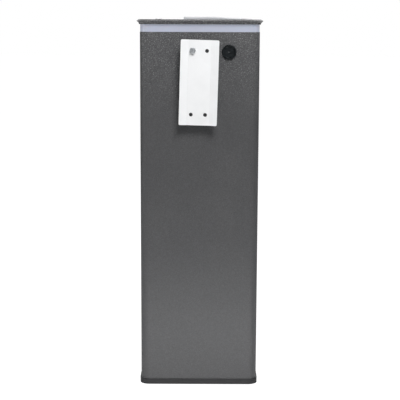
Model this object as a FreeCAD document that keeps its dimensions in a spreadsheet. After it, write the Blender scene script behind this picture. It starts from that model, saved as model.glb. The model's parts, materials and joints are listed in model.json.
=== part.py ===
"""Parking pay station: a free-standing steel column with a light band under its cap.

Frame: millimetres, +Z up, origin at the centre of the base's underside. The user stands
at -Y, in front of the door. +Y is the rear, where the accessory bracket hangs.
"""
import FreeCAD, Part
import math
import os
import re
import Sketcher
from FreeCAD import Placement, Rotation, Vector

SIZES = {
    # Column: overall plan, its corner and the levels where one piece ends and the next starts
    "body_width": 353.0,
    "body_depth": 300.0,
    "corner_radius": 25.0,
    "sheet": 2.0,
    "body_top": 1069.0,
    "top_plate": 3.0,
    "frame_side": 50.0,
    "frame_end": 60.0,
    "frame_corner": 15.0,
    # Gaps: a shaft in its bearing, a piece that moves past another, a fixed piece in its hole
    "running_gap": 0.06,
    "moving_gap": 0.4,
    "fitting_gap": 0.1,
    # Light band and the lamp carrier behind it
    "ring_height": 22.0,
    "ring_inset": 1.0,
    "ring_wall": 4.0,
    "carrier_gap": 8.0,
    "carrier_wall": 3.0,
    "carrier_drop": 2.0,
    # Base
    "plinth_height": 16.0,
    "plinth_proud": 3.0,
    "plinth_wall": 8.0,
    "plinth_lip": 12.0,
    "lip_thickness": 3.0,
    "base_thickness": 6.0,
    "anchor_radius": 7.0,
    "anchor_spacing_x": 240.0,
    "anchor_spacing_y": 120.0,
    "gland_spacing": 70.0,
    "gland_row": -20.0,
    "gland_thread": 10.0,
    "gland_bore": 6.0,
    "gland_lift": 0.5,
    "gland_nut": 8.0,
    "gland_nut_wall": 4.0,
    "gland_dome": 10.0,
    "gland_dome_wall": 2.0,
    "gland_dome_round": 3.0,
    # Cap
    "cap_height": 14.5,
    "cap_skirt": 3.0,
    "cap_skirt_height": 3.5,
    "cap_overhang": 10.0,
    "cap_lip_level": 10.0,
    "cap_top_inset": 3.5,
    "cap_wall": 3.0,
    "cap_post_wall": 4.0,
    "cap_screw_side": 51.0,
    "cap_screw_end": 50.0,
    "cap_screw_tip": 6.0,
    "screw_radius": 3.0,
    "screw_clearance": 0.2,
    "screw_head_radius": 6.0,
    "screw_head_height": 2.0,
    "screw_head_round": 1.4,
    # Antenna cover on the cap
    "radome_end": 48.0,
    "radome_shoulder": -44.0,
    "radome_toe_inset": 22.0,
    "radome_height": 7.5,
    "radome_toe_height": 1.5,
    "radome_setback": 60.0,
    "radome_width": 64.0,
    "radome_round": 3.0,
    # Door and its hinges
    "door_return": 60.0,
    "door_gap": 2.0,
    "door_flange": 18.0,
    "door_side_flange": 26.0,
    "jamb_width": 18.0,
    "hinge_height": 60.0,
    "hinge_offset": 5.0,
    "knuckle_radius": 4.6,
    "hinge_pin_radius": 3.0,
    "pin_recess": 2.0,
    "leaf_length": 28.0,
    "leaf_thickness": 2.5,
    "leaf_gap": 1.0,
    "hinge_low": 150.0,
    "hinge_drop": 139.0,
    # Rubber strips between door and jamb
    "seal_width": 8.0,
    "seal_depth": 12.0,
    "seal_wall": 2.0,
    "seal_end_gap": 4.0,
    "seal_clearance": 0.3,
    # Display
    "display_gap": 30.0,
    "display_width": 224.0,
    "display_height": 140.0,
    "display_corner": 6.0,
    "display_lap": 10.0,
    "gasket": 1.0,
    "gasket_inset": 0.5,
    "glass": 4.0,
    "glass_corner": 4.0,
    "display_rim": 6.0,
    "display_depth": 22.0,
    "clamp_thickness": 3.0,
    "clamp_margin": 16.0,
    "clamp_window": 20.0,
    "clamp_post_inset": 2.0,
    "clamp_post_reach": 50.0,
    # Card reader and code scanner
    "device_column": 62.0,
    "device_gap": 80.0,
    "bezel_thickness": 6.0,
    "bezel_round": 2.5,
    "box_corner": 3.0,
    "reader_size": 92.0,
    "reader_corner": 9.0,
    "reader_rim": 9.0,
    "reader_recess": 1.5,
    "reader_setback": 0.4,
    "reader_window_corner": 5.0,
    "reader_body": 80.0,
    "reader_gap": 1.0,
    "reader_depth": 38.0,
    "scanner_width": 76.0,
    "scanner_height": 56.0,
    "scanner_corner": 5.0,
    "scanner_lap": 6.0,
    "scanner_glass": 3.0,
    "scanner_wall": 3.0,
    "scanner_depth": 34.0,
    "scanner_board": 12.0,
    "scanner_lens": 11.0,
    "scanner_lens_length": 8.0,
    # Help point: speaker and button
    "speaker_drop": 68.0,
    "speaker_radius": 26.0,
    "speaker_hole": 2.0,
    "speaker_pitch": 9.0,
    "speaker_flange": 5.0,
    "speaker_rim": 6.0,
    "speaker_cone": 4.0,
    "speaker_magnet": 18.2,
    "speaker_depth": 22.0,
    "button_drop": 62.0,
    "button_radius": 15.0,
    "button_proud": 5.0,
    "button_round": 2.0,
    "button_ring": 22.0,
    "button_ring_proud": 3.0,
    "button_ring_round": 1.5,
    "button_neck": 16.9,
    "button_neck_depth": 22.0,
    "button_well": 8.0,
    "button_stem": 5.0,
    "button_stem_depth": 20.0,
    "button_travel": 3.0,
    # Camera
    "camera_drop": 39.0,
    "camera_width": 40.0,
    "camera_height": 30.0,
    "camera_depth": 20.0,
    "camera_recess": 2.0,
    "camera_recess_wall": 2.0,
    "camera_radius": 9.0,
    "lens_clearance": 0.3,
    "lens_rim": 2.5,
    "lens_height": 5.0,
    "lens_flat": 5.0,
    # Ticket tray and flap
    "tray_centre": 40.0,
    "tray_drop": 140.0,
    "tray_width": 96.0,
    "tray_height": 56.0,
    "tray_depth": 45.0,
    "tray_wall": 2.0,
    "tray_gap": 0.5,
    "tray_border": 17.0,
    "tray_corner": 8.0,
    "ticket_slot": 6.0,
    "ticket_slot_width": 84.0,
    "flap_height": 46.0,
    "flap_thickness": 3.0,
    "flap_side_gap": 1.0,
    "flap_axis_drop": 4.0,
    "flap_pin": 2.0,
    "flap_pin_length": 5.0,
    "flap_pin_gap": 0.5,
    # Ticket printer
    "printer_width": 96.0,
    "printer_gap": 5.0,
    "printer_floor_gap": 4.0,
    "foot_low_gap": 18.0,
    "foot_high_gap": 6.0,
    "roll_radius": 45.0,
    "roll_width": 80.0,
    "roll_space": 23.0,
    "roll_top_gap": 5.0,
    "roll_rear_gap": 2.0,
    "core_radius": 11.0,
    "spindle_radius": 8.0,
    "spindle_journal": 5.0,
    "spindle_end": 3.0,
    "roller_gap": 2.0,
    "platen_radius": 8.0,
    "platen_setback": 17.0,
    "platen_shaft": 3.0,
    "head_height": 12.0,
    "head_gap": 0.3,
    "head_overhang": 1.0,
    "gear_module": 1.0,
    "gear_teeth": 30.0,
    "pinion_teeth": 12.0,
    "gear_width": 4.0,
    "gear_gap": 2.0,
    "gear_boss": 4.0,
    "motor_radius": 12.0,
    "motor_length": 30.0,
    "motor_shaft": 1.5,
    "motor_shaft_depth": 3.0,
    "motor_bore_depth": 4.0,
    "motor_boss_hole": 5.0,
    "cover_pin": 2.0,
    "cover_tube": 4.0,
    "cover_tube_drop": 3.0,
    "cover_setback": 6.0,
    "cover_notch": 6.0,
    "cover_side_gap": 1.0,
    # Lock and its two rods
    "lock_setback": 40.0,
    "lock_level": 540.0,
    "lock_barrel": 9.0,
    "lock_barrel_proud": 3.5,
    "lock_sleeve": 11.0,
    "lock_sleeve_gap": 10.0,
    "lock_escutcheon": 15.0,
    "escutcheon_proud": 3.0,
    "escutcheon_round": 1.5,
    "keyhole_width": 1.5,
    "keyhole_height": 8.0,
    "keyhole_depth": 6.0,
    "crank_gap": 1.0,
    "crank_radius": 14.0,
    "crank_pin": 3.0,
    "crank_rim": 2.0,
    "crank_thickness": 4.0,
    "yoke_slack": 0.8,
    "yoke_end_gap": 1.0,
    "yoke_wall": 5.0,
    "yoke_thickness": 4.0,
    "rod_radius": 5.0,
    "rod_setback": 76.0,
    "rod_drop": 43.0,
    "rod_bottom": 58.0,
    "rod_root": 2.0,
    "strip_offset": 1.5,
    "strip_length": 34.0,
    "joggle_height": 10.0,
    "guide_height": 20.0,
    "guide_gap": 6.0,
    "guide_fall": 320.0,
    "guide_side": 5.0,
    "guide_back": 4.0,
    "keeper_gap": 3.0,
    "keeper_play": 1.0,
    "keeper_side": 9.0,
    "keeper_thickness": 4.0,
    "keeper_tab": 24.0,
    "keeper_tab_thickness": 3.0,
    # Rear: accessory bracket on its one bolt, and the cable entry plug
    "bolt_column": 21.0,
    "bolt_drop": 53.0,
    "bolt_radius": 5.0,
    "bolt_length": 27.0,
    "bolt_chamfer": 1.0,
    "stud_head_radius": 10.0,
    "stud_head": 3.0,
    "spacer_length": 18.0,
    "spacer_radius": 9.0,
    "bracket_thickness": 2.5,
    "bracket_flat": 67.0,
    "bracket_wing": 22.5,
    "bracket_wing_rise": 8.0,
    "bracket_length": 249.0,
    "bracket_corner": 4.0,
    "bracket_hole_gap": 0.5,
    "bracket_pitch_x": 42.0,
    "bracket_pitch_z": 186.5,
    "bracket_tilt": -1.5,
    "nut_flats": 17.0,
    "nut_height": 5.0,
    "plug_column": -86.0,
    "plug_drop": 58.0,
    "plug_radius": 17.5,
    "plug_depth": 6.0,
    "plug_barb": 1.0,
    "plug_flange": 21.5,
    "plug_height": 4.5,
    "plug_bevel_rise": 2.0,
    "plug_bevel": 1.5,
    "plug_crest": 2.5,
    "plug_slope": 2.0,
    "plug_dish_edge": 2.0,
    "plug_dish": 1.2,
    # Chassis plate inside, behind the door
    "standoff_length": 50.0,
    "standoff_radius": 6.0,
    "standoff_inset": 25.0,
    "standoff_low": 200.0,
    "standoff_drop": 60.0,
    "chassis_side": 35.0,
    "chassis_drop": 109.0,
    "chassis_foot": 20.0,
    # Power supply, controller and heater on the chassis
    "supply_inset": 10.0,
    "supply_low": 96.0,
    "supply_width": 120.0,
    "supply_height": 194.0,
    "supply_depth": 54.0,
    "vent_inset": 15.0,
    "vent_height": 8.0,
    "vent_pitch": 20.0,
    "vent_depth": 2.0,
    "controller_low": 550.0,
    "controller_width": 190.0,
    "controller_height": 150.0,
    "controller_depth": 34.0,
    "fin_inset": 6.0,
    "fin_thickness": 3.0,
    "fin_pitch": 12.5,
    "fin_depth": 12.0,
    "heater_low": 80.0,
    "heater_width": 60.0,
    "heater_height": 70.0,
    "heater_depth": 70.0,
    "heater_back": 10.0,
    "heater_fin": 3.0,
    "heater_slot": 4.0,
    "heater_pitch": 10.0,
    # Fan
    "fan_inset": 65.0,
    "fan_level": 170.0,
    "fan_size": 92.0,
    "fan_depth": 25.0,
    "fan_corner": 5.0,
    "fan_wall": 3.0,
    "fan_web": 3.0,
    "strut_half": 2.0,
    "strut_inset": 1.0,
    "fan_hub": 18.0,
    "fan_shaft": 2.5,
    "fan_shaft_drop": 4.0,
    "rotor_radius": 17.0,
    "rotor_lift": 4.0,
    "rotor_drop": 5.0,
    "rotor_cap": 1.5,
    "blade_root": 2.0,
    "blade_tip_gap": 1.5,
    "blade_reach": 9.0,
    "blade_thickness": 2.5,
    "blade_edge": 3.0,
    # Rail with its breaker and terminals
    "rail_inset": 15.0,
    "rail_level": 420.0,
    "rail_height": 35.0,
    "rail_depth": 7.5,
    "rail_sheet": 1.0,
    "rail_lip": 5.0,
    "breaker_inset": 58.0,
    "breaker_width": 36.0,
    "breaker_height": 86.0,
    "breaker_depth": 48.0,
    "lever_setback": 4.0,
    "lever_slot_gap": 1.0,
    "lever_radius": 6.0,
    "lever_width": 12.0,
    "lever_reach": 15.0,
    "lever_half": 2.0,
    "lever_root": 1.0,
    "lever_pin": 1.5,
    "lever_pin_length": 3.0,
    "lever_pin_gap": 0.5,
    "terminal_inset": 25.0,
    "terminal_pitch": 10.0,
    "terminal_gap": 1.0,
    "terminal_depth": 38.0,
    "terminal_height": 48.0,
}

FAN_BLADES = 7
FIRST_BREAKER_ANGLE = -30       # degrees that the breaker's lever points down when it is off
HINGES = 3
SUPPLY_VENTS = 7
CONTROLLER_FINS = 15
HEATER_SLOTS = 6
TERMINALS = 10
DEDENDUM = 1.25                 # a gear tooth's depth below the pitch circle, in modules
TOOTH_BASE = 1.05               # its half width at the root, in modules
TOOTH_CROWN = 0.28              # its half width at the tip, in modules
HAIR = 0.01                     # how near two levels are when they count as the same

DOC = FreeCAD.newDocument("pay_station")
SHEET = DOC.addObject("Spreadsheet::Sheet", "sizes")
PARTS = []


# ---------------------------------------------------------------- sizes and formulas

def fill_sheet():
    """Write every driving size into the sheet, one row each, under its own alias."""
    for row, (name, size) in enumerate(SIZES.items(), start=1):
        SHEET.set(f"A{row}", name)
        SHEET.set(f"B{row}", str(size))
        SHEET.setAlias(f"B{row}", name)
    DOC.recompute()


def formula(text):
    """Turn a sum written with the sizes' names into an expression on the sheet."""
    def from_sheet(word):
        return f"sizes.{word.group()}" if word.group() in SIZES else word.group()
    return re.sub(r"[A-Za-z_]\w*", from_sheet, str(text))


def number(text):
    """The value that a formula has now."""
    return float(SHEET.evalExpression(formula(text)))


def bind(thing, name, text):
    thing.setExpression(name, formula(text))


# Places that several pieces share, as formulas
HALF_WIDTH = "(body_width / 2)"
HALF_DEPTH = "(body_depth / 2)"
FRONT = "(-body_depth / 2)"
PANEL_BACK = "(-body_depth / 2 + sheet)"
REAR = "(body_depth / 2)"
REAR_INNER = "(body_depth / 2 - sheet)"
DOOR_EDGE = "(-body_depth / 2 + door_return)"
JAMB = "(-body_depth / 2 + door_return + door_gap)"
SHELL_TOP = "(body_top - top_plate)"
DOOR_LOW = "(plinth_height + door_gap)"
DOOR_HIGH = "(body_top - top_plate - door_gap)"
RING_TOP = "(body_top + ring_height)"
CAP_TOP = "(body_top + ring_height + cap_height)"
CAP_SCREW_X = "(body_width / 2 - cap_screw_side)"
CAP_SCREW_Y = "(body_depth / 2 - cap_screw_end)"
RADOME_TOE = "(-body_width / 2 + radome_toe_inset)"
RADOME_BACK = "(body_depth / 2 - radome_setback)"
HINGE_X = "(body_width / 2 + hinge_offset)"
HINGE_PITCH = f"((body_top - hinge_drop - hinge_low) / {HINGES - 1})"
BEZEL_FRONT = "(-body_depth / 2 - bezel_thickness)"
GLASS_FRONT = f"({PANEL_BACK} + gasket)"
GLASS_BACK = f"({GLASS_FRONT} + glass)"
CAMERA_LEVEL = "(body_top - camera_drop)"
DISPLAY_LEVEL = "(body_top - camera_drop - display_gap - display_height / 2)"
DEVICE_LEVEL = f"({DISPLAY_LEVEL} - display_height / 2 - device_gap)"
SPEAKER_LEVEL = f"({DEVICE_LEVEL} - speaker_drop)"
BUTTON_LEVEL = f"({SPEAKER_LEVEL} - button_drop)"
TRAY_LEVEL = f"({DEVICE_LEVEL} - tray_drop)"
TRAY_BACK = "(-body_depth / 2 + tray_depth)"
FLAP_AXIS_Z = f"({TRAY_LEVEL} + tray_height / 2 - flap_axis_drop)"
FLAP_AXIS_Y = "(-body_depth / 2 - bezel_thickness / 2)"
PLATE_LEFT = "(tray_centre - printer_width / 2)"
PLATE_RIGHT = "(tray_centre + printer_width / 2)"
PLATE_OUTER_LEFT = f"({PLATE_LEFT} - sheet)"
PLATE_OUTER_RIGHT = f"({PLATE_RIGHT} + sheet)"
PLATEN_Y = "(-body_depth / 2 + tray_depth + platen_setback)"
PLATEN_LEVEL = f"({TRAY_LEVEL} - platen_radius)"
GEAR_SPACING = "(gear_module * (gear_teeth + pinion_teeth) / 2)"
GEAR_TIP = "(gear_module * (gear_teeth + 2) / 2)"
HEAD_TOP = f"({PLATEN_LEVEL} + platen_radius + head_height)"
ROLL_LEVEL = f"({HEAD_TOP} + roll_space + roll_radius)"
PRINTER_FRONT = "(-body_depth / 2 + tray_depth + printer_gap)"
PRINTER_REAR = f"({PRINTER_FRONT} + 2 * roll_radius + roll_rear_gap)"
PRINTER_LOW = f"({PLATEN_LEVEL} - {GEAR_TIP} - printer_floor_gap)"
PRINTER_TOP = f"({ROLL_LEVEL} + roll_radius + roll_top_gap)"
ROLL_Y = f"({PRINTER_FRONT} + roll_radius)"
COVER_Y = f"({PRINTER_REAR} - cover_setback)"
COVER_Z = f"({PRINTER_TOP} - cover_tube_drop)"
LOCK_X = "(-body_width / 2 + lock_setback)"
ROD_Y = "(-body_depth / 2 + rod_setback)"
ROD_TOP = "(body_top - rod_drop)"
SWING = "(crank_radius * sqrt(0.5))"
BOLT_LEVEL = "(body_top - bolt_drop)"
PLUG_LEVEL = "(body_top - plug_drop)"
BRACKET_BACK = "(body_depth / 2 + spacer_length)"
CHASSIS_FACE = "(body_depth / 2 - 2 * sheet - standoff_length)"
CHASSIS_HALF = "(body_width / 2 - chassis_side)"
CHASSIS_TOP = "(body_top - chassis_drop)"
FAN_X = f"({CHASSIS_HALF} - fan_inset)"
FAN_Y = f"({CHASSIS_FACE} - fan_size / 2)"
RAIL_FACE = f"({CHASSIS_FACE} - rail_depth)"
RAIL_HALF = f"({CHASSIS_HALF} - rail_inset)"
BREAKER_X = f"(-{CHASSIS_HALF} + breaker_inset)"
BREAKER_FRONT = f"({RAIL_FACE} - breaker_depth)"
LEVER_Y = f"({BREAKER_FRONT} + lever_setback)"


# ---------------------------------------------------------------- sketches

def circle(x, y, radius):
    """One circle of a sketch, as formulas."""
    return {"x": x, "y": y, "radius": radius}


def circles(spots, radius):
    """The same circle at several places."""
    return [circle(x, y, radius) for x, y in spots]


def circles(spots, radius):
    """The same circle at several places."""
    return [circle(x, y, radius) for x, y in spots]


def circles(spots, radius):
    """The same circle at several places."""
    return [circle(x, y, radius) for x, y in spots]


def circles(spots, radius):
    """The same circle at several places."""
    return [circle(x, y, radius) for x, y in spots]


def rectangle(x0, x1, y0, y1, radius=None):
    """The four corners of a rectangle, all rounded when a radius is given."""
    corners = [(x0, y0), (x1, y0), (x1, y1), (x0, y1)]
    return [corner + (radius,) for corner in corners] if radius else corners


def plan(inset, radius_inset=None):
    """The column's rounded plan, drawn in from its outside by inset."""
    radius = f"corner_radius - ({inset if radius_inset is None else radius_inset})"
    half_x = f"({HALF_WIDTH} - ({inset}))"
    half_y = f"({HALF_DEPTH} - ({inset}))"
    return rectangle(f"-{half_x}", half_x, f"-{half_y}", half_y, radius)


def dimension(sketch, kind, geometry, end, text):
    """Hold one coordinate of a sketch point at a formula."""
    index = sketch.addConstraint(Sketcher.Constraint(kind, -1, 1, geometry, end, number(text)))
    bind(sketch, f"Constraints[{index}]", text)


def pin(sketch, geometry, end, x, y):
    dimension(sketch, "DistanceX", geometry, end, x)
    dimension(sketch, "DistanceY", geometry, end, y)


def point(x, y):
    return Vector(number(x), number(y), 0)


def draw_circle(sketch, shape):
    """Draw a circle held by its centre and radius."""
    middle = point(shape["x"], shape["y"])
    radius = number(shape["radius"])
    index = sketch.addGeometry(Part.Circle(middle, Vector(0, 0, 1), radius), False)
    pin(sketch, index, 3, shape["x"], shape["y"])
    held = sketch.addConstraint(Sketcher.Constraint("Radius", index, radius))
    bind(sketch, f"Constraints[{held}]", shape["radius"])


def step(start, end):
    """The unit step from one point to the next, as two numbers."""
    way = (end - start).normalize()
    return round(way.x, 9), round(way.y, 9)


def rounded_corner(corners, index):
    """Where a corner's arc begins and ends, as formulas, and whether it turns left."""
    x, y, radius = corners[index]
    here = point(x, y)
    before = corners[index - 1]
    after = corners[(index + 1) % len(corners)]
    way_in = step(point(before[0], before[1]), here)
    way_out = step(here, point(after[0], after[1]))
    begin = [f"({at}) - ({way}) * ({radius})" for at, way in zip((x, y), way_in)]
    finish = [f"({at}) + ({way}) * ({radius})" for at, way in zip((x, y), way_out)]
    left = way_in[0] * way_out[1] - way_in[1] * way_out[0] > 0
    return begin, finish, left


def draw_arc(sketch, begin, finish, radius, left):
    """Draw a quarter turn between two points and return its start and end handles."""
    start = point(*begin)
    end = point(*finish)
    chord = end - start
    side = Vector(-chord.y, chord.x, 0) * (0.5 if left else -0.5)
    middle = start + chord * 0.5 + side
    first, last = (start, end) if left else (end, start)
    angles = [math.atan2(spot.y - middle.y, spot.x - middle.x) for spot in (first, last)]
    if angles[1] < angles[0]:
        angles[1] += 2 * math.pi
    round_edge = Part.Circle(middle, Vector(0, 0, 1), number(radius))
    index = sketch.addGeometry(Part.ArcOfCircle(round_edge, *angles), False)
    held = sketch.addConstraint(Sketcher.Constraint("Radius", index, number(radius)))
    bind(sketch, f"Constraints[{held}]", radius)
    begin_end, finish_end = (1, 2) if left else (2, 1)
    pin(sketch, index, begin_end, *begin)
    pin(sketch, index, finish_end, *finish)
    return (index, begin_end), (index, finish_end)


def draw_outline(sketch, corners):
    """Draw a closed outline; a corner given with a radius becomes a quarter turn."""
    stops = []
    for index, corner in enumerate(corners):
        if len(corner) == 3:
            begin, finish, left = rounded_corner(corners, index)
            handles = draw_arc(sketch, begin, finish, corner[2], left)
            stops.append((begin, finish, handles))
        else:
            stops.append((corner, corner, None))
    lines = []
    for index, (_, start, _) in enumerate(stops):
        end = stops[(index + 1) % len(stops)][0]
        line = sketch.addGeometry(Part.LineSegment(point(*start), point(*end)), False)
        lines.append(line)
    for index, (_, start, handles) in enumerate(stops):
        here = lines[index]
        before = lines[index - 1]
        if handles is None:
            pin(sketch, here, 1, *start)
            sketch.addConstraint(Sketcher.Constraint("Coincident", before, 2, here, 1))
        else:
            sketch.addConstraint(Sketcher.Constraint("Coincident", before, 2, *handles[0]))
            sketch.addConstraint(Sketcher.Constraint("Coincident", here, 1, *handles[1]))


def make_sketch(body, plane, level, shapes):
    """A sketch on one of the body's own planes, moved out to a level along its axis."""
    support = next(o for o in body.Origin.OriginFeatures if o.Role == f"{plane}_Plane")
    sketch = body.newObject("Sketcher::SketchObject", "sketch")
    sketch.AttachmentSupport = [(support, "")]
    sketch.MapMode = "FlatFace"
    sign = "-" if plane == "XZ" else ""
    bind(sketch, "AttachmentOffset.Base.z", f"{sign}({level})")
    for shape in shapes:
        if isinstance(shape, dict):
            draw_circle(sketch, shape)
        else:
            draw_outline(sketch, shape)
    return sketch


# ---------------------------------------------------------------- features

def new_body(label):
    """An empty body that will be one sub-part, kept in the list that is written out."""
    body = DOC.addObject("PartDesign::Body", label)
    body.Label = label
    body.AllowCompound = True
    PARTS.append(body)
    return body


def add(body, plane, start, end, *shapes):
    """Pad the shapes from start to end along the plane's axis."""
    level = end if plane == "XZ" else start
    pad = body.newObject("PartDesign::Pad", "pad")
    pad.Profile = make_sketch(body, plane, level, shapes)
    bind(pad, "Length", f"({end}) - ({start})")
    body.Tip = pad
    return pad


def cut(body, plane, start, end, *shapes):
    """Pocket the shapes from start to end along the plane's axis."""
    level = start if plane == "XZ" else end
    pocket = body.newObject("PartDesign::Pocket", "pocket")
    pocket.Profile = make_sketch(body, plane, level, shapes)
    bind(pocket, "Length", f"({end}) - ({start})")
    body.Tip = pocket
    return pocket


def prism(label, plane, start, end, *shapes):
    """A sub-part that starts as one pad."""
    body = new_body(label)
    add(body, plane, start, end, *shapes)
    return body


def turned(label, profile):
    """A sub-part turned about its own Z axis from a profile of (radius, height) corners."""
    body = new_body(label)
    turn = body.newObject("PartDesign::Revolution", "turn")
    turn.Profile = make_sketch(body, "XZ", "0", [profile])
    turn.ReferenceAxis = (turn.Profile[0], ["V_Axis"])
    turn.Angle = 360
    body.Tip = turn
    return body


def place(body, x, y, z, rotation=None):
    """Move a body, by formulas, to where it sits on the column."""
    body.Placement = Placement(Vector(0, 0, 0), rotation or Rotation())
    for name, text in (("x", x), ("y", y), ("z", z)):
        bind(body, f"Placement.Base.{name}", text)


def polar(body, feature, count, axis):
    """Repeat a feature all the way round one of the body's own axes."""
    line = next(o for o in body.Origin.OriginFeatures if o.Role == f"{axis}_Axis")
    pattern = body.newObject("PartDesign::PolarPattern", "pattern")
    pattern.Originals = [feature]
    pattern.Axis = (line, [""])
    pattern.Angle = 360
    pattern.Occurrences = count
    body.Tip = pattern


def soften(body, radius, chosen):
    """Fillet the edges of a body that the test picks out."""
    DOC.recompute()
    base = body.Tip
    names = [f"Edge{i}" for i, edge in enumerate(base.Shape.Edges, start=1) if chosen(edge)]
    fillet = body.newObject("PartDesign::Fillet", "fillet")
    fillet.Base = (base, names)
    bind(fillet, "Radius", radius)
    body.Tip = fillet


TO_REAR = Rotation(Vector(1, 0, 0), -90)      # turns a body's Z axis to +Y
TO_FRONT = Rotation(Vector(1, 0, 0), 90)      # turns a body's Z axis to -Y


# ---------------------------------------------------------------- base

def make_base():
    """A hollow plinth with an inner lip, and the floor plate under the lip with its glands."""
    inner = "plinth_wall - plinth_proud"
    lip_top = "base_thickness + lip_thickness"
    plinth = prism("base_plinth", "XY", 0, "plinth_height", plan("-plinth_proud"))
    cut(plinth, "XY", 0, "base_thickness", plan(inner))
    cut(plinth, "XY", lip_top, "plinth_height", plan(inner))
    cut(plinth, "XY", "base_thickness", lip_top, plan(f"{inner} + plinth_lip", inner))

    anchors = [(f"{x} * anchor_spacing_x / 2", f"{y} * anchor_spacing_y / 2")
               for x in (-1, 1) for y in (-1, 1)]
    glands = [(f"{side} * gland_spacing / 2", "gland_row") for side in (-1, 1)]
    prism("base_plate", "XY", 0, "base_thickness", plan(f"{inner} + moving_gap"),
          *circles(glands, "gland_thread + running_gap"), *circles(anchors, "anchor_radius"))

    nut_top = "(base_thickness + gland_nut)"
    dome_top = f"({nut_top} + gland_dome)"
    gland = prism("cable_glands", "XY", "gland_lift", "base_thickness",
                  *circles(glands, "gland_thread"))
    add(gland, "XY", "base_thickness", nut_top, *circles(glands, "gland_thread + gland_nut_wall"))
    add(gland, "XY", nut_top, dome_top, *circles(glands, "gland_thread + gland_dome_wall"))
    soften(gland, "gland_dome_round", lambda edge: edge.BoundBox.ZMin > number(dome_top) - HAIR)
    cut(gland, "XY", "gland_lift", dome_top, *circles(glands, "gland_bore"))


# ---------------------------------------------------------------- column

def make_shell():
    """The rear and both sides, one folded sheet, with a jamb flange behind each door edge."""
    outer = [(f"-{HALF_WIDTH}", JAMB), (HALF_WIDTH, JAMB),
             (HALF_WIDTH, REAR, "corner_radius"), (f"-{HALF_WIDTH}", REAR, "corner_radius")]
    half = f"({HALF_WIDTH} - sheet)"
    inner = [(f"-{half}", f"{JAMB} + sheet"), (half, f"{JAMB} + sheet"),
             (half, REAR_INNER, "corner_radius - sheet"),
             (f"-{half}", REAR_INNER, "corner_radius - sheet")]
    shell = prism("rear_shell", "XY", "plinth_height", SHELL_TOP, outer)
    cut(shell, "XY", "plinth_height", SHELL_TOP, inner)
    doorway = f"({HALF_WIDTH} - jamb_width)"
    cut(shell, "XY", "plinth_height", SHELL_TOP,
        rectangle(f"-{doorway}", doorway, JAMB, f"{JAMB} + sheet"))
    cut(shell, "XZ", REAR_INNER, REAR,
        circle("bolt_column", BOLT_LEVEL, "bolt_radius + moving_gap"),
        circle("plug_column", PLUG_LEVEL, "plug_radius"))

    opening = rectangle(f"-{HALF_WIDTH} + frame_side", f"{HALF_WIDTH} - frame_side",
                        f"-{HALF_DEPTH} + frame_end", f"{HALF_DEPTH} - frame_end", "frame_corner")
    prism("top_frame", "XY", SHELL_TOP, "body_top", plan(0), opening,
          *circles(cap_screw_spots(), "screw_radius + screw_clearance"))


def make_light_band():
    """The opal ring that glows under the cap, and the carrier of its lamps behind it."""
    prism("light_ring", "XY", "body_top", RING_TOP, plan("ring_inset"),
          plan("ring_inset + ring_wall"))
    carrier = "(ring_inset + ring_wall + carrier_gap)"
    prism("led_carrier", "XY", "body_top", f"{RING_TOP} - carrier_drop", plan(carrier),
          plan(f"{carrier} + carrier_wall"))


def cap_screw_spots():
    return [(f"{x} * {CAP_SCREW_X}", f"{y} * {CAP_SCREW_Y}") for x in (-1, 1) for y in (-1, 1)]


def flared_cap(body, levels):
    """Loft through rounded plans, given as (height, inset) pairs, from the lowest up."""
    loft = body.newObject("PartDesign::AdditiveLoft", "loft")
    sections = [make_sketch(body, "XY", level, [plan(inset)]) for level, inset in levels]
    loft.Profile = sections[0]
    loft.Sections = sections[1:]
    loft.Ruled = True
    body.Tip = loft


def make_cap():
    """The flared cap on its four posts, the screws through them, and the antenna cover."""
    cap = new_body("top_cap")
    flared_cap(cap, [(RING_TOP, "-cap_skirt"),
                     (f"{RING_TOP} + cap_skirt_height", "-cap_skirt"),
                     (f"{RING_TOP} + cap_lip_level", "-cap_overhang"),
                     (CAP_TOP, "-cap_top_inset")])
    underside = f"{CAP_TOP} - cap_wall"
    spots = cap_screw_spots()
    cut(cap, "XY", RING_TOP, underside, plan("ring_inset + ring_wall"))
    add(cap, "XY", "body_top", underside, *circles(spots, "screw_radius + cap_post_wall"))
    cut(cap, "XY", "body_top", CAP_TOP, *circles(spots, "screw_radius + screw_clearance"))

    head_top = f"{CAP_TOP} + screw_head_height"
    screws = prism("cap_screws", "XY", "body_top + cap_screw_tip", CAP_TOP,
                   *circles(spots, "screw_radius"))
    add(screws, "XY", CAP_TOP, head_top, *circles(spots, "screw_head_radius"))
    soften(screws, "screw_head_round", lambda edge: edge.BoundBox.ZMin > number(head_top) - HAIR)

    roof = f"{CAP_TOP} + radome_height"
    radome = prism("antenna_cover", "XZ", f"{RADOME_BACK} - radome_width", RADOME_BACK,
                   [(RADOME_TOE, CAP_TOP), ("radome_end", CAP_TOP), ("radome_end", roof),
                    ("radome_shoulder", roof), (RADOME_TOE, f"{CAP_TOP} + radome_toe_height")])
    soften(radome, "radome_round", lambda edge: edge.BoundBox.ZMin > number(roof) - HAIR
           and edge.BoundBox.YLength < HAIR)


# ---------------------------------------------------------------- door

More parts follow.
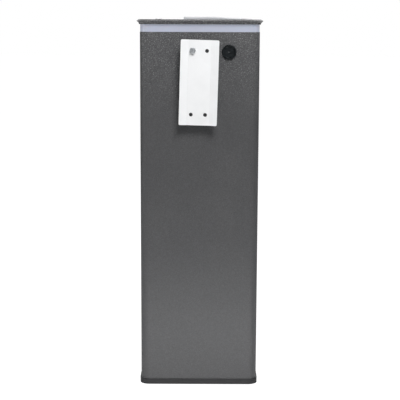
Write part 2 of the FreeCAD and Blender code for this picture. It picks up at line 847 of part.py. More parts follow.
def make_door():
    """The front panel, folded back at its sides and closed by flanges above and below."""
    door = prism("front_door", "XY", DOOR_LOW, DOOR_HIGH,
                 [(f"-{HALF_WIDTH}", FRONT, "corner_radius"), (HALF_WIDTH, FRONT, "corner_radius"),
                  (HALF_WIDTH, DOOR_EDGE), (f"-{HALF_WIDTH}", DOOR_EDGE)])
    half = f"({HALF_WIDTH} - sheet)"
    cut(door, "XY", f"{DOOR_LOW} + sheet", f"{DOOR_HIGH} - sheet",
        [(f"-{half}", PANEL_BACK, "corner_radius - sheet"),
         (half, PANEL_BACK, "corner_radius - sheet"), (half, DOOR_EDGE), (f"-{half}", DOOR_EDGE)])
    mouth = f"({HALF_WIDTH} - door_side_flange)"
    cut(door, "XY", DOOR_LOW, DOOR_HIGH,
        rectangle(f"-{mouth}", mouth, f"{FRONT} + door_flange", DOOR_EDGE))
    cut(door, "XZ", FRONT, PANEL_BACK, *door_openings())


def around(width, height, grow, column, level, radius=None):
    """A rectangle about a column and a level, grown by the same amount on every side."""
    half = f"({width} / 2 + {grow})"
    rise = f"({height} / 2 + {grow})"
    return rectangle(f"{column} - {half}", f"{column} + {half}",
                     f"{level} - {rise}", f"{level} + {rise}", radius)


def display(grow, radius=None):
    return around("display_width", "display_height", grow, "0", DISPLAY_LEVEL, radius)


def reader_face(grow, radius):
    return around("reader_size", "reader_size", grow, "device_column", DEVICE_LEVEL, radius)


def reader_box(grow, radius):
    return around("reader_body", "reader_body", grow, "device_column", DEVICE_LEVEL, radius)


def scanner(grow, radius=None):
    return around("scanner_width", "scanner_height", grow, "-device_column", DEVICE_LEVEL, radius)


def tray(grow, radius=None):
    return around("tray_width", "tray_height", grow, "tray_centre", TRAY_LEVEL, radius)


def speaker_circle(radius):
    return circle("-device_column", SPEAKER_LEVEL, radius)


def button_circle(radius):
    return circle("-device_column", BUTTON_LEVEL, radius)


def speaker_holes():
    """A round field of small holes on a square pitch."""
    reach = 2
    steps = range(-reach, reach + 1)
    return [circle(f"-device_column + {i} * speaker_pitch", f"{SPEAKER_LEVEL} + {j} * speaker_pitch",
                   "speaker_hole")
            for i in steps for j in steps if i * i + j * j <= reach * reach + 1]


def door_openings():
    """Everything that is cut through the front panel."""
    return [display("0", "display_corner"), reader_box("reader_gap", "box_corner + reader_gap"),
            scanner("0", "scanner_corner"), tray("tray_wall + tray_gap"),
            circle(LOCK_X, "lock_level", "lock_sleeve + fitting_gap"),
            button_circle("button_neck + fitting_gap"),
            circle(0, CAMERA_LEVEL, "camera_radius")] + speaker_holes()


def make_hinges():
    """Three lift-off hinges on the side: each frame leaf carries the pin its door leaf turns on."""
    fixed = new_body("hinge_frame_leaves")
    moving = new_body("hinge_door_leaves")
    knuckle = circle(HINGE_X, DOOR_EDGE, "knuckle_radius")
    bore = circle(HINGE_X, DOOR_EDGE, "hinge_pin_radius + running_gap")
    snug = circle(HINGE_X, DOOR_EDGE, "hinge_pin_radius")
    inside = HALF_WIDTH
    outside = f"({HALF_WIDTH} + leaf_thickness)"
    near = "(knuckle_radius + moving_gap + leaf_gap)"
    fixed_leaf = rectangle(inside, outside, f"{DOOR_EDGE} + {near}",
                           f"{DOOR_EDGE} + {near} + leaf_length")
    moving_leaf = rectangle(inside, outside, f"{DOOR_EDGE} - {near} - leaf_length",
                            f"{DOOR_EDGE} - {near}")
    fixed_web = rectangle(f"{inside} + moving_gap", outside, DOOR_EDGE, f"{DOOR_EDGE} + {near}")
    moving_web = rectangle(f"{inside} + moving_gap", outside, f"{DOOR_EDGE} - {near}", DOOR_EDGE)
    for index in range(HINGES):
        low = f"(hinge_low + {index} * {HINGE_PITCH})"
        high = f"({low} + hinge_height)"
        below = f"({low} + hinge_height / 2 - moving_gap / 2)"
        above = f"({low} + hinge_height / 2 + moving_gap / 2)"
        add(fixed, "XY", low, high, fixed_leaf)
        add(fixed, "XY", low, below, fixed_web)
        add(fixed, "XY", low, below, knuckle)
        add(fixed, "XY", low, f"{high} - pin_recess", snug)
        add(moving, "XY", low, high, moving_leaf)
        add(moving, "XY", above, high, moving_web)
        add(moving, "XY", above, high, knuckle)
        cut(moving, "XY", above, high, bore)


def make_seal():
    """Two hollow rubber strips on the door that close on the jamb flanges."""
    low = f"({DOOR_LOW} + sheet + seal_end_gap)"
    high = f"({DOOR_HIGH} - sheet - seal_end_gap)"
    face = f"({HALF_WIDTH} - sheet)"
    lip = f"({face} - seal_width)"
    front = f"({DOOR_EDGE} - seal_depth)"
    seal = prism("door_seals", "XZ", front, f"{JAMB} - seal_clearance",
                 rectangle(f"-{face}", f"-{lip}", low, high), rectangle(lip, face, low, high))
    cut(seal, "XZ", f"{front} + 2 * seal_wall", f"{DOOR_EDGE} - 2 * seal_wall",
        rectangle(f"-{face} + seal_wall", f"-{lip} - seal_wall", low, high),
        rectangle(f"{lip} + seal_wall", f"{face} - seal_wall", low, high))


# ---------------------------------------------------------------- what the door carries

def make_display():
    """Gasket, glass and display module, held to the door by a clamp frame on two posts."""
    module_back = f"({GLASS_BACK} + display_depth)"
    prism("display_gasket", "XZ", PANEL_BACK, GLASS_FRONT, display("display_lap"),
          display("gasket_inset"))
    prism("display_glass", "XZ", GLASS_FRONT, GLASS_BACK, display("display_lap", "glass_corner"))
    prism("display_module", "XZ", GLASS_BACK, module_back, display("display_rim"))
    clamp = prism("display_clamp", "XZ", module_back, f"{module_back} + clamp_thickness",
                  display("clamp_margin"), display("-clamp_window"))
    for side in (-1, 1):
        middle = f"({side} * (display_width / 2 + clamp_margin - clamp_post_inset))"
        post = rectangle(f"{middle} - clamp_thickness / 2", f"{middle} + clamp_thickness / 2",
                         f"{DISPLAY_LEVEL} - clamp_post_reach", f"{DISPLAY_LEVEL} + clamp_post_reach")
        add(clamp, "XZ", PANEL_BACK, module_back, post)


def round_bezel(body, radius, front):
    """Round the outer edges of a body's foremost face."""
    soften(body, radius, lambda edge: edge.BoundBox.YMax < number(front) + HAIR)


def make_reader():
    """A contactless reader: a raised bezel outside, its body through the panel, its window."""
    pocket_back = f"({BEZEL_FRONT} + reader_recess)"
    reader = prism("card_reader", "XZ", BEZEL_FRONT, FRONT, reader_face("0", "reader_corner"))
    add(reader, "XZ", FRONT, f"{FRONT} + reader_depth", reader_box("0", "box_corner"))
    round_bezel(reader, "bezel_round", BEZEL_FRONT)
    cut(reader, "XZ", BEZEL_FRONT, pocket_back,
        reader_face("-reader_rim", "reader_window_corner"))
    prism("reader_window", "XZ", f"{BEZEL_FRONT} + reader_setback", pocket_back,
          reader_face("-reader_rim - running_gap", "reader_window_corner - running_gap"))


def make_scanner():
    """A code scanner: its window behind the panel, a hood, and the lens on its board."""
    glass_back = f"({PANEL_BACK} + scanner_glass)"
    hood_back = f"({glass_back} + scanner_depth)"
    board = f"({hood_back} - scanner_board)"
    prism("scanner_window", "XZ", PANEL_BACK, glass_back, scanner("scanner_lap"))
    hood = prism("scanner_module", "XZ", glass_back, hood_back, scanner("scanner_wall"))
    cut(hood, "XZ", glass_back, board, scanner("0"))
    add(hood, "XZ", f"{board} - scanner_lens_length", board,
        circle("-device_column", DEVICE_LEVEL, "scanner_lens"))


def make_help_point():
    """The speaker behind its holes, and the help button in its threaded ring."""
    rim_back = f"{PANEL_BACK} + speaker_rim"
    speaker = prism("speaker", "XZ", PANEL_BACK, rim_back,
                    speaker_circle("speaker_radius + speaker_flange"))
    add(speaker, "XZ", rim_back, f"{PANEL_BACK} + speaker_depth", speaker_circle("speaker_magnet"))
    cut(speaker, "XZ", PANEL_BACK, f"{PANEL_BACK} + speaker_cone", speaker_circle("speaker_radius"))

    ring_front = f"({FRONT} - button_ring_proud)"
    well_back = f"({FRONT} + button_well)"
    neck_back = f"({FRONT} + button_neck_depth)"
    ring = prism("button_ring", "XZ", ring_front, FRONT, button_circle("button_ring"))
    add(ring, "XZ", FRONT, neck_back, button_circle("button_neck"))
    round_bezel(ring, "button_ring_round", ring_front)
    cut(ring, "XZ", ring_front, well_back, button_circle("button_radius + moving_gap"))
    cut(ring, "XZ", well_back, neck_back, button_circle("button_stem + running_gap"))

    button_front = f"({FRONT} - button_proud)"
    button_back = f"({well_back} - button_travel - moving_gap)"
    button = prism("help_button", "XZ", button_front, button_back, button_circle("button_radius"))
    round_bezel(button, "button_round", button_front)
    add(button, "XZ", button_back, f"{FRONT} + button_stem_depth", button_circle("button_stem"))


def make_camera():
    """A small camera behind the panel, its domed lens in the panel's hole."""
    seat = f"({PANEL_BACK} + camera_recess)"
    camera = prism("camera_module", "XZ", PANEL_BACK, f"{PANEL_BACK} + camera_depth",
                   around("camera_width", "camera_height", "0", "0", CAMERA_LEVEL, "box_corner"))
    cut(camera, "XZ", PANEL_BACK, seat,
        circle(0, CAMERA_LEVEL, "camera_radius + camera_recess_wall"))
    rim = "camera_radius - lens_clearance"
    lens = turned("camera_lens", [("0", "0"), (rim, "0"), (rim, "lens_rim"),
                                  ("lens_flat", "lens_height"), ("0", "lens_height")])
    place(lens, "0", seat, CAMERA_LEVEL, TO_FRONT)


def make_tray():
    """The ticket tray: a bezel outside, a five-sided cup behind it and a clear flap."""
    cup_back = f"{TRAY_BACK} - tray_wall"
    tray_part = prism("ticket_tray", "XZ", BEZEL_FRONT, FRONT, tray("tray_border", "tray_corner"))
    round_bezel(tray_part, "bezel_round", BEZEL_FRONT)
    add(tray_part, "XZ", FRONT, TRAY_BACK, tray("tray_wall"))
    cut(tray_part, "XZ", BEZEL_FRONT, cup_back, tray("0"))
    cut(tray_part, "XZ", cup_back, TRAY_BACK,
        around("ticket_slot_width", "ticket_slot", "0", "tray_centre", TRAY_LEVEL))
    ear = "(tray_width / 2 + flap_pin_length)"
    cut(tray_part, "YZ", f"tray_centre - {ear}", f"tray_centre + {ear}",
        circle(FLAP_AXIS_Y, FLAP_AXIS_Z, "flap_pin + running_gap"))

    reach = f"({ear} - flap_pin_gap)"
    side = "(tray_width / 2 - flap_side_gap)"
    flap = prism("ticket_flap", "YZ", f"tray_centre - {reach}", f"tray_centre + {reach}",
                 circle(FLAP_AXIS_Y, FLAP_AXIS_Z, "flap_pin"))
    add(flap, "YZ", f"tray_centre - {side}", f"tray_centre + {side}",
        rectangle(f"{FLAP_AXIS_Y} - flap_thickness / 2", f"{FLAP_AXIS_Y} + flap_thickness / 2",
                  f"{FLAP_AXIS_Z} - flap_height", FLAP_AXIS_Z))


# ---------------------------------------------------------------- ticket printer

def make_printer_frame():
    """Two side plates, a floor between them and two feet that reach the door's panel."""
    frame = prism("printer_frame", "YZ", PLATE_OUTER_LEFT, PLATE_OUTER_RIGHT,
                  rectangle(PRINTER_FRONT, PRINTER_REAR, PRINTER_LOW, PRINTER_TOP))
    cut(frame, "YZ", PLATE_LEFT, PLATE_RIGHT,
        rectangle(PRINTER_FRONT, PRINTER_REAR, f"{PRINTER_LOW} + sheet", PRINTER_TOP))
    foot = rectangle(PANEL_BACK, PRINTER_FRONT,
                     f"{TRAY_LEVEL} + tray_height / 2 + tray_wall + foot_low_gap",
                     f"{DEVICE_LEVEL} - reader_size / 2 - foot_high_gap")
    add(frame, "YZ", PLATE_OUTER_LEFT, PLATE_LEFT, foot)
    add(frame, "YZ", PLATE_RIGHT, PLATE_OUTER_RIGHT, foot)
    cut(frame, "YZ", PLATE_OUTER_LEFT, PLATE_OUTER_RIGHT,
        circle(PLATEN_Y, PLATEN_LEVEL, "platen_shaft + running_gap"),
        circle(ROLL_Y, ROLL_LEVEL, "spindle_journal + running_gap"),
        circle(COVER_Y, COVER_Z, "cover_pin + running_gap"))
    cut(frame, "YZ", PLATE_RIGHT, PLATE_OUTER_RIGHT,
        circle(f"{PLATEN_Y} + {GEAR_SPACING}", PLATEN_LEVEL, "motor_boss_hole"))


def make_paper():
    """The spindle across the printer, and the paper roll that turns on it."""
    axis = (ROLL_Y, ROLL_LEVEL)
    spindle = prism("roll_spindle", "YZ", f"{PLATE_OUTER_LEFT} - spindle_end",
                    f"{PLATE_OUTER_RIGHT} + spindle_end", circle(*axis, "spindle_journal"))
    add(spindle, "YZ", f"{PLATE_LEFT} + roller_gap", f"{PLATE_RIGHT} - roller_gap",
        circle(*axis, "spindle_radius"))
    ends = ("tray_centre - roll_width / 2", "tray_centre + roll_width / 2")
    prism("roll_core", "YZ", *ends, circle(*axis, "core_radius"),
          circle(*axis, "spindle_radius + running_gap"))
    prism("paper_roll", "YZ", *ends, circle(*axis, "roll_radius"), circle(*axis, "core_radius"))


def gear(label, teeth, half_turn, shaft, shaft_start):
    """A spur gear fast on its shaft, its first tooth towards +Y or half a pitch past it."""
    root = f"(gear_module * ({teeth} / 2 - {DEDENDUM}))"
    inside = f"{root} - gear_module / 2"
    tip = f"(gear_module * ({teeth} / 2 + 1))"
    base = f"gear_module * {TOOTH_BASE}"
    crown = f"gear_module * {TOOTH_CROWN}"
    wheel = prism(label, "YZ", 0, "gear_width", circle(0, 0, root))
    tooth = add(wheel, "YZ", 0, "gear_width",
                [(inside, f"-{base}"), (root, f"-{base}"), (tip, f"-{crown}"),
                 (tip, crown), (root, base), (inside, base)])
    polar(wheel, tooth, int(number(teeth)), "X")
    add(wheel, "YZ", shaft_start, "gear_width + gear_boss", circle(0, 0, shaft))
    turn = 180.0 / number(teeth) if half_turn else 0.0
    return wheel, Rotation(Vector(1, 0, 0), turn)


def make_print_drive():
    """The platen roller on its geared shaft, and the motor whose pinion meshes with it."""
    prism("platen_roller", "YZ", f"{PLATE_LEFT} + roller_gap", f"{PLATE_RIGHT} - roller_gap",
          circle(PLATEN_Y, PLATEN_LEVEL, "platen_radius"),
          circle(PLATEN_Y, PLATEN_LEVEL, "platen_shaft"))
    gear_plane = f"{PLATE_OUTER_RIGHT} + gear_gap"
    wheel, turn = gear("platen_gear", "gear_teeth", False, "platen_shaft",
                       "-printer_width - 2 * sheet - 2 * gear_gap")
    place(wheel, gear_plane, PLATEN_Y, PLATEN_LEVEL, turn)
    motor_y = f"({PLATEN_Y} + {GEAR_SPACING})"
    pinion, turn = gear("motor_pinion", "pinion_teeth", True, "motor_shaft",
                        "-gear_gap - sheet - motor_shaft_depth")
    place(pinion, gear_plane, motor_y, PLATEN_LEVEL, turn)
    motor = prism("printer_motor", "YZ", f"{PLATE_RIGHT} - motor_length", PLATE_RIGHT,
                  circle(motor_y, PLATEN_LEVEL, "motor_radius"))
    cut(motor, "YZ", f"{PLATE_RIGHT} - motor_bore_depth", PLATE_RIGHT,
        circle(motor_y, PLATEN_LEVEL, "motor_shaft + running_gap"))
    prism("print_head", "YZ", PLATE_LEFT, PLATE_RIGHT,
          rectangle(f"{PLATEN_Y} - platen_radius", f"{PLATEN_Y} + platen_radius + head_overhang",
                    f"{PLATEN_LEVEL} + platen_radius + head_gap", HEAD_TOP))


def make_printer_cover():
    """The lid above the paper roll, hinged along the printer's rear edge.

    Its sheet lies on both side plates, and is narrower by the hinge, where it turns down
    between them as it opens.
    """
    between = (f"{PLATE_LEFT} + cover_side_gap", f"{PLATE_RIGHT} - cover_side_gap")
    across = (PLATE_OUTER_LEFT, PLATE_OUTER_RIGHT)
    shoulder = f"({COVER_Y} - cover_notch)"
    top = f"{PRINTER_TOP} + sheet"
    lid = prism("printer_cover", "YZ", *between, circle(COVER_Y, COVER_Z, "cover_tube"))
    add(lid, "YZ", *between, rectangle(shoulder, COVER_Y, PRINTER_TOP, top))
    add(lid, "YZ", *across, rectangle(PRINTER_FRONT, shoulder, PRINTER_TOP, top))
    add(lid, "YZ", *across, circle(COVER_Y, COVER_Z, "cover_pin"))


# ---------------------------------------------------------------- lock

def make_lock():
    """A key-turned barrel whose two crank pins move one rod up and the other down."""
    centre = (LOCK_X, "lock_level")
    face = f"({FRONT} - escutcheon_proud)"
    sleeve_end = f"({ROD_Y} - lock_sleeve_gap)"
    housing = prism("lock_housing", "XZ", face, FRONT, circle(*centre, "lock_escutcheon"))
    add(housing, "XZ", FRONT, sleeve_end, circle(*centre, "lock_sleeve"))
    round_bezel(housing, "escutcheon_round", face)
    cut(housing, "XZ", face, sleeve_end, circle(*centre, "lock_barrel + running_gap"))

    nose = f"({FRONT} - lock_barrel_proud)"
    crank_front = f"({sleeve_end} + crank_gap)"
    crank_back = f"({crank_front} + crank_thickness)"
    barrel = prism("lock_barrel", "XZ", nose, crank_front, circle(*centre, "lock_barrel"))
    cut(barrel, "XZ", nose, f"{nose} + keyhole_depth",
        around("keyhole_width", "keyhole_height", "0", LOCK_X, "lock_level"))
    crank = prism("lock_crank", "XZ", crank_front, crank_back,
                  circle(*centre, "crank_radius + crank_pin + crank_rim"))
    pins = [(f"{LOCK_X} + {side} * {SWING}", f"lock_level - {side} * {SWING}") for side in (-1, 1)]
    add(crank, "XZ", crank_back, f"{ROD_Y} + yoke_thickness / 2 + crank_gap",
        *circles(pins, "crank_pin"))

    make_rod("lock_rod_upper", 1)
    make_rod("lock_rod_lower", -1)


def in_order(*formulas):
    """The same formulas, from the one with the least value to the one with the most."""
    return sorted(formulas, key=number)


def make_rod(label, way):
    """A locking rod with a slotted yoke for its crank pin; way is +1 up or -1 down.

    The pin swings from 45 degrees before its side of the barrel to 45 degrees past it, so the
    slot reaches out to the full crank radius. A strip beside the barrel carries the yoke, and
    a joggle brings it back to the round rod in line with the barrel.
    """
    pin_x = f"({LOCK_X} + {way} * {SWING})"
    far_x = f"({LOCK_X} + {way} * crank_radius)"
    pin_z = f"(lock_level - {way} * {SWING})"
    slot_end = "(crank_pin + yoke_end_gap)"
    slot_rise = "(crank_pin + yoke_slack)"
    front = f"({ROD_Y} - yoke_thickness / 2)"
    back = f"({ROD_Y} + yoke_thickness / 2)"
    slot_x = in_order(f"{pin_x} - {way} * {slot_end}", f"{far_x} + {way} * {slot_end}")
    yoke_x = in_order(f"{pin_x} - {way} * ({slot_end} + yoke_wall)",
                      f"{far_x} + {way} * ({slot_end} + yoke_wall)")
    outer_x = yoke_x[1] if way > 0 else yoke_x[0]
    shoulder_z = f"({pin_z} + {way} * ({slot_rise} + yoke_wall))"
    neck_z = f"({shoulder_z} + {way} * strip_length)"
    rod = prism(label, "XZ", front, back,
                rectangle(*yoke_x, f"{pin_z} - {slot_rise} - yoke_wall",
                          f"{pin_z} + {slot_rise} + yoke_wall"))
    add(rod, "XZ", front, back,
        rectangle(*in_order(f"{LOCK_X} + {way} * strip_offset", outer_x),
                  *in_order(shoulder_z, neck_z)))
    add(rod, "XZ", front, back,
        rectangle(*in_order(f"{LOCK_X} - {way} * rod_radius", outer_x),
                  *in_order(neck_z, f"{neck_z} + {way} * joggle_height")))
    tip = ROD_TOP if way > 0 else "rod_bottom"
    add(rod, "XY", *in_order(f"{neck_z} + {way} * rod_root", tip),
        circle(LOCK_X, ROD_Y, "rod_radius"))
    cut(rod, "XZ", front, back,
        rectangle(*slot_x, f"{pin_z} - {slot_rise}", f"{pin_z} + {slot_rise}"))


def make_rod_guides():
    """Two guides that carry the rods on the door, and two keepers on the column's jamb."""
    half = "(rod_radius + guide_side)"
    guides = new_body("rod_guides")
    lows = (f"({DISPLAY_LEVEL} - display_height / 2 - clamp_margin - guide_gap - guide_height)",
            "(lock_level - guide_fall)")
    for low in lows:
        add(guides, "XY", low, f"{low} + guide_height",
            rectangle(f"{LOCK_X} - {half}", f"{LOCK_X} + {half}", PANEL_BACK,
                      f"{ROD_Y} + rod_radius + guide_back"))
    for low in lows:
        cut(guides, "XY", low, f"{low} + guide_height",
            circle(LOCK_X, ROD_Y, "rod_radius + running_gap"))

    keepers = new_body("rod_keepers")
    inner = f"(-{HALF_WIDTH} + sheet)"
    play = "(rod_radius + keeper_play)"
    side = "(rod_radius + keeper_side)"
    for face, way in ((f"({ROD_TOP} + keeper_gap)", 1), ("(rod_bottom - keeper_gap)", -1)):
        low, high = in_order(face, f"({face} + {way} * keeper_thickness)")
        add(keepers, "XY", low, high,
            rectangle(inner, f"{LOCK_X} + {side}", f"{JAMB} + sheet", f"{ROD_Y} + {side}"))
        cut(keepers, "XY", low, high,
            rectangle(f"{LOCK_X} - {play}", f"{LOCK_X} + {play}", f"{ROD_Y} - {play}",
                      f"{ROD_Y} + {play}"))
        add(keepers, "XY", low, f"({low} + keeper_tab)",
            rectangle(inner, f"{inner} + keeper_tab_thickness", f"{JAMB} + sheet",
                      f"{ROD_Y} + {side}"))


# ---------------------------------------------------------------- rear fittings

def make_bracket():
    """A shallow channel with four holes, hung by one of them on the stud, a little askew."""
    flat = "(bracket_flat / 2)"
    wide = "(bracket_flat / 2 + bracket_wing)"
    slope = "(bracket_wing_rise / bracket_wing)"
    bend = f"({flat} - bracket_thickness * tan(atan({slope}) / 2))"
    edge = f"(bracket_wing_rise + bracket_thickness * sqrt(1 + {slope} * {slope}))"
    right = [(flat, "0"), (wide, "bracket_wing_rise"), (wide, edge), (bend, "bracket_thickness")]
    left = [(f"-{x}", y) for x, y in reversed(right)]
    section = [(f"{x} - bracket_pitch_x / 2", y) for x, y in right + left]
    bracket = prism("accessory_bracket", "XY", "-(bracket_pitch_z + bracket_length) / 2",
                    "(bracket_length - bracket_pitch_z) / 2", section)
    soften(bracket, "bracket_corner", lambda edge: edge.BoundBox.ZLength < HAIR
           and edge.BoundBox.XLength < HAIR)
    holes = [(x, z) for x in ("0", "-bracket_pitch_x") for z in ("0", "-bracket_pitch_z")]
    cut(bracket, "XZ", "0", "bracket_thickness", *circles(holes, "bolt_radius + bracket_hole_gap"))
    tilt = Rotation(Vector(0, 1, 0), number("bracket_tilt"))
    place(bracket, "bolt_column", BRACKET_BACK, BOLT_LEVEL, tilt)


def hexagon(flats):
    """The six corners of a hexagon of the given width across its flats, about the origin."""
    return [(f"cos({60 * i}) * {flats} / sqrt(3)", f"sin({60 * i}) * {flats} / sqrt(3)")
            for i in range(6)]


def make_bracket_fixing():
    """The shouldered stud through the shell that carries the bracket, and its nut."""
    wall = "(stud_head + sheet)"
    shoulder = f"({wall} + spacer_length - fitting_gap)"
    tip = f"({wall} + bolt_length)"
    stud = turned("bracket_stud", [("0", "0"), ("stud_head_radius", "0"),
                                   ("stud_head_radius", "stud_head"),
                                   ("bolt_radius", "stud_head"), ("bolt_radius", wall),
                                   ("spacer_radius", wall), ("spacer_radius", shoulder),
                                   ("bolt_radius", shoulder),
                                   ("bolt_radius", f"{tip} - bolt_chamfer"),
                                   ("bolt_radius - bolt_chamfer", tip), ("0", tip)])
    place(stud, "bolt_column", f"{REAR_INNER} - stud_head", BOLT_LEVEL, TO_REAR)
    nut = prism("bracket_nut", "XY", 0, "nut_height", hexagon("nut_flats"),
                circle(0, 0, "bolt_radius"))
    place(nut, "bolt_column", f"{BRACKET_BACK} + bracket_thickness + fitting_gap", BOLT_LEVEL,
          TO_REAR)


def make_plug():
    """A rubber plug: a raised rim round a dished middle, and a barbed neck in the shell's hole."""
    crest = "plug_flange - plug_bevel - plug_crest"
    plug = turned("cable_plug", [("0", "-plug_depth"), ("plug_radius + plug_barb", "-plug_depth"),
                                 ("plug_radius + plug_barb", "-sheet"), ("plug_radius", "-sheet"),
                                 ("plug_radius", "0"), ("plug_flange", "0"),
                                 ("plug_flange", "plug_height - plug_bevel_rise"),
                                 ("plug_flange - plug_bevel", "plug_height"),
                                 (crest, "plug_height"),
                                 (f"{crest} - plug_slope", "plug_dish_edge"), ("0", "plug_dish")])
    place(plug, "plug_column", REAR, PLUG_LEVEL, TO_REAR)


# ---------------------------------------------------------------- inside the column

def make_chassis():
    """The plate that carries the electronics, with its foot and its posts to the shell."""
    back = f"({CHASSIS_FACE} + sheet)"
    toe = f"({CHASSIS_FACE} - chassis_foot)"
    foot_top = "base_thickness + sheet"
    chassis = prism("chassis_plate", "YZ", f"-{CHASSIS_HALF}", CHASSIS_HALF,
                    [(toe, "base_thickness"), (back, "base_thickness"), (back, CHASSIS_TOP),
                     (CHASSIS_FACE, CHASSIS_TOP), (CHASSIS_FACE, foot_top), (toe, foot_top)])
    high = f"({CHASSIS_TOP} - standoff_drop)"
    posts = [(f"{side} * ({CHASSIS_HALF} - standoff_inset)", level) for side in (-1, 1)
             for level in ("standoff_low", f"(standoff_low + {high}) / 2", high)]
    add(chassis, "XZ", back, REAR_INNER, *circles(posts, "standoff_radius"))


def on_chassis(label, depth, x, width, low, height):
    """A rounded box on the chassis plate's face, given its left edge, width, foot and height."""
    return prism(label, "XZ", f"{CHASSIS_FACE} - {depth}", CHASSIS_FACE,
                 rectangle(x, f"{x} + {width}", low, f"{low} + {height}", "box_corner"))


def make_electronics():
    """The vented power supply, the finned controller and the finned anti-frost heater."""
    left = f"(-{CHASSIS_HALF} + supply_inset)"
    supply = on_chassis("power_supply", "supply_depth", left, "supply_width", "supply_low",
                        "supply_height")
    face = f"{CHASSIS_FACE} - supply_depth"
    first = f"(supply_low + (supply_height - {SUPPLY_VENTS - 1} * vent_pitch - vent_height) / 2)"
    for i in range(SUPPLY_VENTS):
        low = f"{first} + {i} * vent_pitch"
        cut(supply, "XZ", face, f"{face} + vent_depth",
            rectangle(f"{left} + vent_inset", f"{left} + supply_width - vent_inset", low,
                      f"{low} + vent_height"))

    left = "(-controller_width / 2)"
    controller = on_chassis("controller", "controller_depth", left, "controller_width",
                            "controller_low", "controller_height")
    for i in range(CONTROLLER_FINS):
        x = f"{left} + fin_inset + {i} * fin_pitch"
        add(controller, "XZ", f"{CHASSIS_FACE} - controller_depth - fin_depth",
            f"{CHASSIS_FACE} - controller_depth",
            rectangle(x, f"{x} + fin_thickness", "controller_low + fin_inset",
                      "controller_low + controller_height - fin_inset"))

    left = f"({FAN_X} - heater_width / 2)"
    heater = on_chassis("heater", "heater_depth", left, "heater_width", "heater_low",
                        "heater_height")
    for i in range(HEATER_SLOTS):
        x = f"{left} + heater_fin + {i} * heater_pitch"
        cut(heater, "XZ", f"{CHASSIS_FACE} - heater_depth", f"{CHASSIS_FACE} - heater_back",
            rectangle(x, f"{x} + heater_slot", "heater_low", "heater_low + heater_height"))


def make_rail():
    """The mounting rail with its breaker, toggle and row of terminals."""
    low = "(rail_level - rail_height / 2)"
    high = "(rail_level + rail_height / 2)"
    ends = (f"-{RAIL_HALF}", RAIL_HALF)
    rail = prism("mounting_rail", "YZ", *ends,
                 rectangle(RAIL_FACE, f"{RAIL_FACE} + rail_sheet", low, high))
    add(rail, "YZ", *ends,
        rectangle(f"{RAIL_FACE} + rail_sheet", CHASSIS_FACE, f"{low} + rail_lip",
                  f"{high} - rail_lip"))
    cut(rail, "YZ", *ends,
        rectangle(RAIL_FACE, f"{CHASSIS_FACE} - rail_sheet", f"{low} + rail_lip + rail_sheet",
                  f"{high} - rail_lip - rail_sheet"))

    breaker = prism("circuit_breaker", "XZ", BREAKER_FRONT, RAIL_FACE,
                    around("breaker_width", "breaker_height", "0", BREAKER_X, "rail_level"))
    slot = "(lever_width / 2 + moving_gap)"
    pin_reach = f"({slot} + lever_pin_length)"
    cut(breaker, "YZ", f"{BREAKER_X} - {slot}", f"{BREAKER_X} + {slot}",
        circle(LEVER_Y, "rail_level", "lever_radius + lever_slot_gap"))
    cut(breaker, "YZ", f"{BREAKER_X} - {pin_reach}", f"{BREAKER_X} + {pin_reach}",
        circle(LEVER_Y, "rail_level", "lever_pin + running_gap"))

    width = ("-lever_width / 2", "lever_width / 2")
    lever = prism("breaker_lever", "YZ", *width, circle(0, 0, "lever_radius"))
    add(lever, "YZ", *width,
        rectangle("-lever_reach", "-lever_radius + lever_root", "-lever_half", "lever_half"))
    add(lever, "YZ", f"-{pin_reach} + lever_pin_gap", f"{pin_reach} - lever_pin_gap",
        circle(0, 0, "lever_pin"))
    place(lever, BREAKER_X, LEVER_Y, "rail_level", Rotation(Vector(1, 0, 0), FIRST_BREAKER_ANGLE))

    terminals = new_body("terminal_blocks")
    first = f"({RAIL_HALF} - terminal_inset - {TERMINALS} * terminal_pitch)"
    for i in range(TERMINALS):
        x = f"{first} + {i} * terminal_pitch"
        add(terminals, "XZ", f"{RAIL_FACE} - terminal_depth", RAIL_FACE,
            rectangle(x, f"{x} + terminal_pitch - terminal_gap",
                      "rail_level - terminal_height / 2", "rail_level + terminal_height / 2"))


def make_fan():
    """An axial fan above the heater, blowing up, its rotor on a fixed shaft."""
    half = "(fan_size / 2)"
    web_top = "(fan_level + fan_web)"
    top = "(fan_level + fan_depth)"
    strut = f"({half} - strut_inset)"
    frame = prism("fan_frame", "XY", "fan_level", top,
                  rectangle(f"{FAN_X} - {half}", f"{FAN_X} + {half}", f"{FAN_Y} - {half}",
                            f"{FAN_Y} + {half}", "fan_corner"),
                  circle(FAN_X, FAN_Y, f"{half} - fan_wall"))
    add(frame, "XY", "fan_level", web_top, circle(FAN_X, FAN_Y, "fan_hub"))
    for reach_x, reach_y in ((strut, "strut_half"), ("strut_half", strut)):
        add(frame, "XY", "fan_level", web_top,
            rectangle(f"{FAN_X} - {reach_x}", f"{FAN_X} + {reach_x}", f"{FAN_Y} - {reach_y}",
                      f"{FAN_Y} + {reach_y}"))
    add(frame, "XY", web_top, f"{top} - fan_shaft_drop", circle(FAN_X, FAN_Y, "fan_shaft"))

    rotor_top = "(fan_depth - rotor_drop)"
    rotor = prism("fan_rotor", "XY", 0, rotor_top, circle(0, 0, "rotor_radius"))
    blade_top = f"{rotor_top} - blade_edge"
    blade = add(rotor, "YZ", "rotor_radius - blade_root", f"{half} - fan_wall - blade_tip_gap",
                [("-blade_reach", "blade_edge"), ("-blade_reach + blade_thickness", "blade_edge"),
                 ("blade_reach", blade_top), ("blade_reach - blade_thickness", blade_top)])
    polar(rotor, blade, FAN_BLADES, "Z")
    cut(rotor, "XY", 0, f"{rotor_top} - rotor_cap", circle(0, 0, "fan_shaft + running_gap"))
    place(rotor, FAN_X, FAN_Y, "fan_level + rotor_lift")


# ---------------------------------------------------------------- build and write

